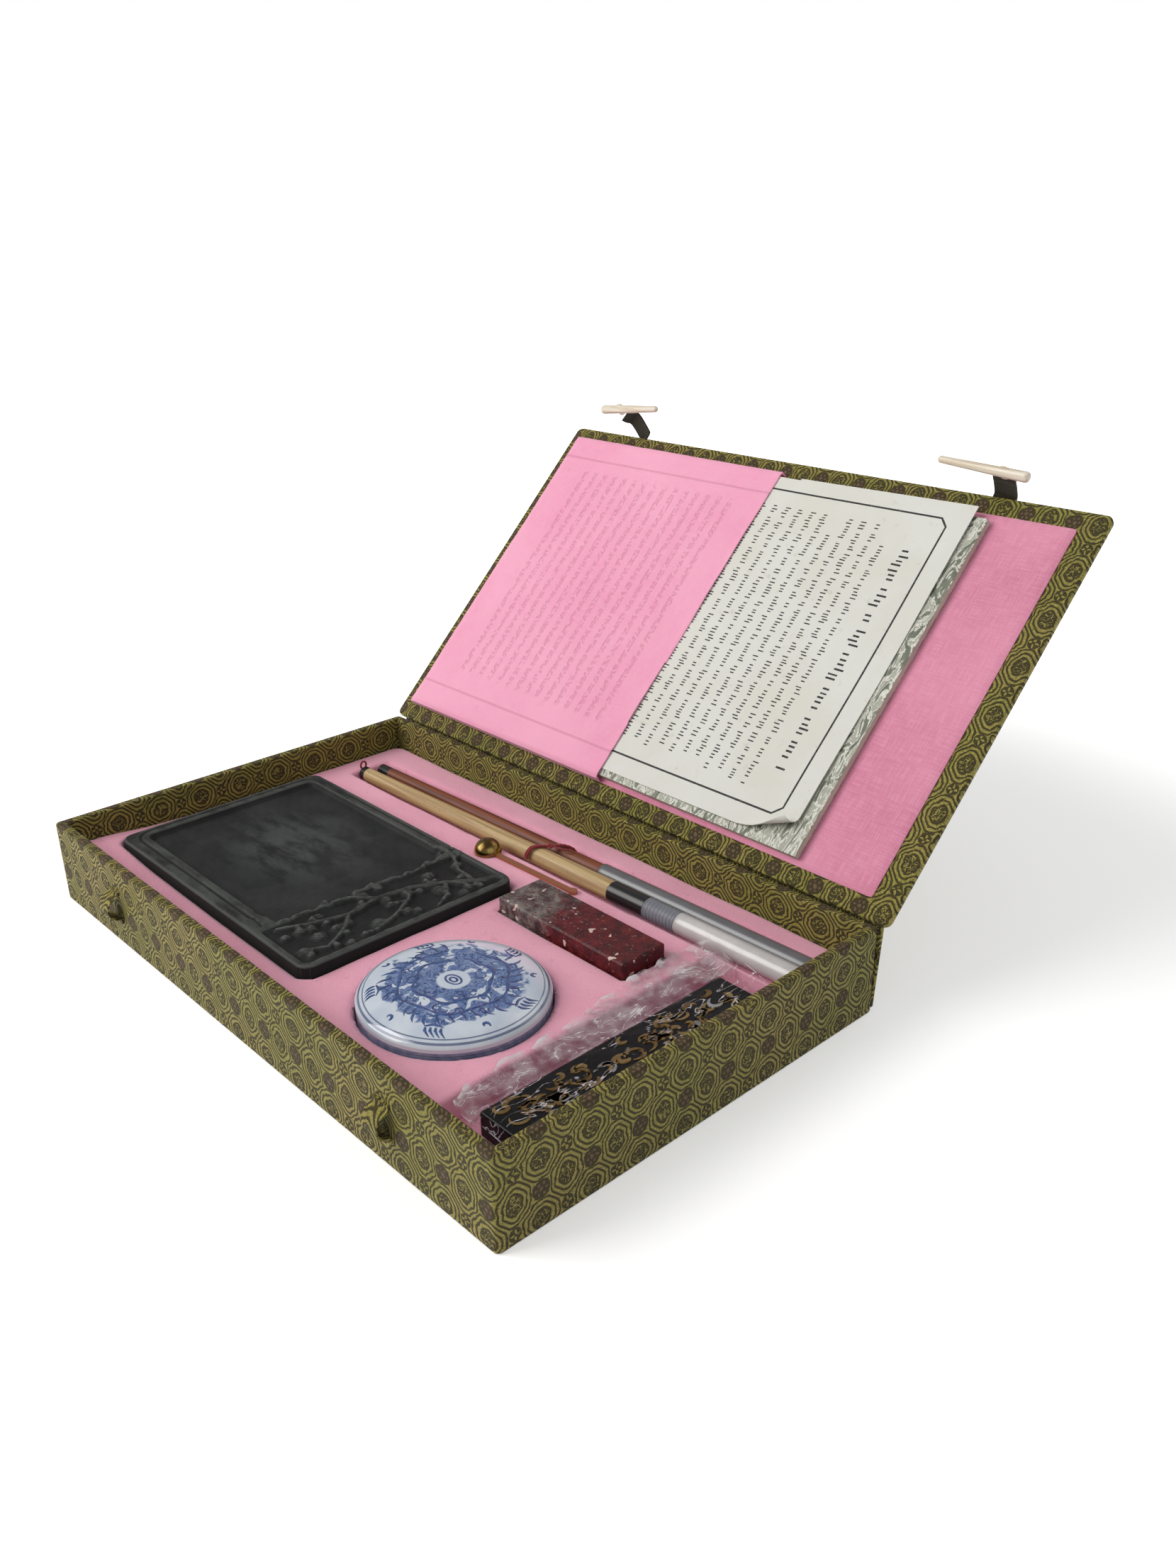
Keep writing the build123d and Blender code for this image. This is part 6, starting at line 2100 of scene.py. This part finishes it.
@dataclass
class Brush:
    """One writing brush: tail cap, handle, ferrule, hair and clear cap."""

    letter: str
    tail: Triple
    tip: Triple
    ferrule_to: float
    cap_from: float
    cap_radius: float
    hair_radius: float
    hair_length: float
    handle_finish: Finish
    cap_finish: Finish
    collar: float = 0.0
    ribs: int = 9
    cap_wall: float = 0.45

    def axis(self) -> tuple[Array, Array]:
        """Gives the brush's two ends."""
        return np.array(self.tail), np.array(self.tip)

    def cap(self) -> tuple[Shape, Shape | None]:
        """Builds the clear cap, and its ribbed collar where it has one."""
        start, end = self.axis()
        length = float(np.linalg.norm(end - start))
        r, wall, c = self.cap_radius, self.cap_wall, self.cap_from
        tube_from = c + self.collar
        profile = [(tube_from, r - wall), (tube_from, r - 0.1), (tube_from + 0.15, r)]
        profile += [(x, r) for x in np.linspace(tube_from + 2, length - 1.2, 12)]
        profile += [(length - 0.5, r - 0.15), (length - 0.1, r - 0.6), (length, r - 1.4),
                    (length, 0.02)]
        inner = [(length - 0.9, 0.02), (length - 0.9, r - wall - 0.3)]
        inner += [(x, r - wall) for x in np.linspace(length - 1.6, tube_from, 8)]
        tube = lathe(profile + inner, start, end, 40)
        if not self.collar:
            return tube, None
        ribs = [(c, r - wall), (c, r - 0.05)]
        steps = 60
        for k in range(steps + 1):
            x = c + 0.3 + (self.collar - 0.6) * k / steps
            ribs.append((x, r + 0.14 * math.cos(math.tau * k / steps * self.ribs)))
        ribs += [(tube_from - 0.02, r - 0.05), (tube_from - 0.02, r - wall)]
        return tube, lathe(ribs, start, end, 44)

    def tuft(self) -> Shape:
        """Builds the hair: a full belly that draws to a point, with parted locks."""
        start, end = self.axis()
        root, length, r = self.ferrule_to, self.hair_length, self.hair_radius
        profile = []
        for t in np.linspace(0, 1, 26):
            belly = r * (0.86 + 0.14 * math.sin(min(t * 3.2, math.pi / 2)))
            point = max(0.0, (t - 0.45) / 0.55)
            profile.append((root + length * t, belly * (1 - point**1.7) + 0.06))

        def locks(along: float, angle: float) -> float:
            """Grooves between the locks, deeper towards the point."""
            t = (along - root) / length
            return -0.13 * (0.3 + t) * (0.5 + 0.5 * math.cos(13 * angle + 5 * math.sin(
                2.1 * angle + 3 * t))) - 0.05 * math.cos(29 * angle + 2)

        return lathe(profile, start, end, 90, locks)

    def build(self) -> None:
        """Makes the cap and the hair and dresses the rest."""
        n = f"brush_{self.letter}"
        dress(f"{n}_handle", self.handle_finish)
        dress(f"{n}_ferrule", Finishes.black_plastic)
        dress(f"{n}_tail_cap", Finishes.black_plastic)
        tube, collar = self.cap()
        cap = make_piece(f"{n}_clear_cap", tube, self.cap_finish, Body.BRUSHES)
        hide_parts(f"{n}_cap")
        if collar is not None:
            make_piece(f"{n}_ribbed_collar", collar, Finishes.grey_collar, Body.BRUSHES, sharp=70)
        hair = make_piece(f"{n}_goat_hair", self.tuft(), Finishes.hair, Body.BRUSHES, sharp=80)
        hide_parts(f"{n}_hair")


@dataclass
class Brushes:
    """The pair of brushes, the thread that ties them and the hanging loop."""

    thread: float = 0.6

    def tie(self) -> Shape:
        """Builds two twisted strands over both brushes, with a knot."""
        threads: list[Shape] = []
        for shift, extra in ((0.0, 0.0), (0.95, 0.15)):
            route = np.array([
                (-3.6, 48.2, 20.6), (-3.3, 48.5, 22.6), (-2.6, 50.4, 24.75 + extra * 0.4),
                (-1.4, 53.0, 25.05 + extra), (0.2, 55.7, 24.7 + extra * 0.4),
                (2.4, 58.9, 24.6 + extra), (4.4, 61.6, 24.35 + extra * 0.5),
                (6.2, 64.1, 23.0), (6.9, 65.2, 21.0), (6.6, 65.1, 18.4)]) + (shift, 0.0, 0.0)
            threads.append(strand(spline(route, 90), self.thread, 9, 0.22))
        t = np.linspace(0, 2.2 * math.tau, 60)
        knot = np.column_stack([0.9 + 0.75 * np.cos(t) + 0.12 * t, 56.6 + 0.75 * np.sin(t),
                                25.0 + 0.35 * np.sin(t * 1.5)])
        threads.append(strand(knot, 0.5, 8, 0.2))
        ends = spline([(2.2, 56.9, 25.3), (4.6, 57.3, 25.0), (7.5, 58.2, 24.9),
                       (10.4, 60.2, 24.75)], 30)
        return merged([*threads, strand(ends, 0.42, 8, 0.2)])

    def hanging_loop(self) -> Shape:
        """Builds the small standing loop at the first brush's tail."""
        t = np.linspace(-0.42 * math.pi, 1.42 * math.pi, 40)
        path = np.column_stack([-121.15 + 0.1 * np.sin(3 * t), 50.6 + 1.45 * np.cos(t),
                                23.95 + 1.75 * np.sin(t)])
        tail = spline([path[-1], (-120.9, 50.75, 21.9), (-120.2, 50.7, 21.6)], 6)
        head = spline([(-120.2, 50.5, 21.6), (-120.9, 50.45, 21.9), path[0]], 6)
        return strand(np.vstack([head[:-1], path, tail[1:]]), 0.5, 8, 0.2)

    def build(self) -> None:
        """Makes both brushes and their threads."""
        Brush("a", (-120.8, 50.6, 20.1), (130.2, 56.0, 21.0), 180.4 + 18.0, 180.4, 4.15, 3.45,
              41.0, Finishes.bamboo, Finishes.clear_cap, collar=15.6).build()
        Brush("b", (-118.6, 58.8, 19.9), (130.0, 64.6, 20.5), 163.6, 145.6, 3.8, 3.05, 39.5,
              Finishes.red_wood, Finishes.smoky_cap).build()
        tie = make_piece("brush_tie_thread", self.tie(), Finishes.red_thread, Body.BRUSHES,
                         sharp=80)
        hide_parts("brush_tie")
        loop = make_piece("brush_a_loop_thread", self.hanging_loop(), Finishes.red_thread,
                          Body.BRUSHES, sharp=80)
        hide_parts("brush_a_loop")


@dataclass
class Spoon:
    """The little brass water spoon."""

    def build(self) -> None:
        """Dresses its bowl and its handle."""
        dress("spoon_bowl", Finishes.brass)
        dress("spoon_handle", Finishes.copper)


# ---- the studio


@dataclass(frozen=True)
class FloorFinish(Finish):
    """Plain pale floor that keeps the object's shadow."""

    def paint(self, graph: Graph, place: Value) -> Looks:
        """Lifts the floor towards white for the camera and in reflections."""
        even = graph.noise(place, 0.002, 1.0)
        x, y, _ = graph.split(place)
        glow = graph.span(graph.smooth(graph.away(x, y), 300.0, 620.0), 0.36, 1.0)
        seen = graph.rays("Camera", "Glossy", "Transmission")
        return {"Base Color": graph.mix(even, srgb(250, 250, 250), srgb(253, 253, 253)),
                "Roughness": 0.9, "Specular IOR Level": 0.1,
                "Emission Color": (1.0, 1.0, 1.0, 1.0), "Emission Strength": seen * glow}


@dataclass
class Studio:
    """Floor, soft lights and the camera."""

    eye: Triple = (359.11, -251.28, 264.38)
    right: Triple = (0.6814, 0.7319, -0.0115)
    down: Triple = (0.2937, -0.2877, -0.9116)
    ahead: Triple = (-0.6705, 0.6177, -0.4110)
    lens: float = 30.25
    sensor: float = 36.0
    floor_half: float = 6.0
    ambient: float = 0.33

    def camera(self) -> None:
        """Stands the camera in its place."""
        data = bpy.data.cameras.new("view")
        data.sensor_width = self.sensor
        data.lens = self.lens
        data.clip_start, data.clip_end = 0.01, 30.0
        made = bpy.data.objects.new("view", data)
        bpy.context.scene.collection.objects.link(made)
        turn = Matrix((self.right, tuple(-v for v in self.down),
                       tuple(-v for v in self.ahead))).transposed()
        made.matrix_world = Matrix.Translation(Vector(self.eye) * MM) @ turn.to_4x4()
        bpy.context.scene.camera = made

    def lamp(self, name: str, place: Triple, size: float, power: float, colour: Triple) -> None:
        """Hangs one soft lamp that looks at the object.

        Args:
            name: Its name.
            place: Where it hangs, in metres.
            size: Its side, in metres.
            power: Its power in watts.
            colour: Its colour.
        """
        data = bpy.data.lights.new(name, "AREA")
        data.size, data.energy, data.color = size, power, colour
        made = bpy.data.objects.new(name, data)
        bpy.context.scene.collection.objects.link(made)
        made.location = place
        aim = Vector((0.0, 0.03, 0.05)) - Vector(place)
        made.rotation_euler = aim.to_track_quat("-Z", "Y").to_euler()

    def world(self) -> None:
        """Fills the room with soft light and shows it white behind the object."""
        made = bpy.data.worlds.new("room")
        made.use_nodes = True
        graph = Graph(made.node_tree)
        sky = made.node_tree.nodes["Background"]
        graph.put((1.0, 1.0, 1.0, 1.0), sky.inputs["Color"])
        seen = graph.rays("Camera", "Transmission")
        graph.put(graph.span(seen, self.ambient, 1.0), sky.inputs["Strength"])
        bpy.context.scene.world = made

    def build(self) -> None:
        """Sets the stage."""
        half = self.floor_half / MM
        rings = [np.array([(-half, -half, z), (half, -half, z), (half, half, z),
                           (-half, half, z)]) for z in (-20.0, -0.02)]
        floor = make_piece("studio_floor", loft(rings), FloorFinish("pale_floor", ""), None)
        del floor["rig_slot"]
        self.camera()
        self.world()
        self.lamp("key", (-0.8, -1.05, 1.1), 1.2, 22.0, (1.0, 0.985, 0.96))
        self.lamp("fill", (1.5, -0.35, 0.9), 1.4, 3.5, (0.96, 0.98, 1.0))
        self.lamp("back", (0.2, 1.5, 1.3), 1.2, 5.0, (1.0, 1.0, 1.0))
        view = bpy.context.scene.view_settings
        view.view_transform = "Standard"


def main() -> None:
    """Builds every sub-assembly in order."""
    logging.basicConfig(level=logging.INFO, format="%(message)s")
    Studio().build()
    assemblies = [
        Tray(), Insert(), Spine(), Lid(), Papers(), Fastening("left", -97.0,
        (-108.8, 204.33, 167.81), 2.6, 3.6, Finishes.dark_tape),
        Fastening("right", 97.0, (99.3, 202.8, 165.7), 0.6, 2.4, Finishes.dark_tape), Inkstone(),
        PasteBox(), Seal(), InkStick(), Brushes(), Spoon()]
    for assembly in assemblies:
        LOG.info("building %s", type(assembly).__name__)
        assembly.build()


if __name__ == "__main__":
    main()
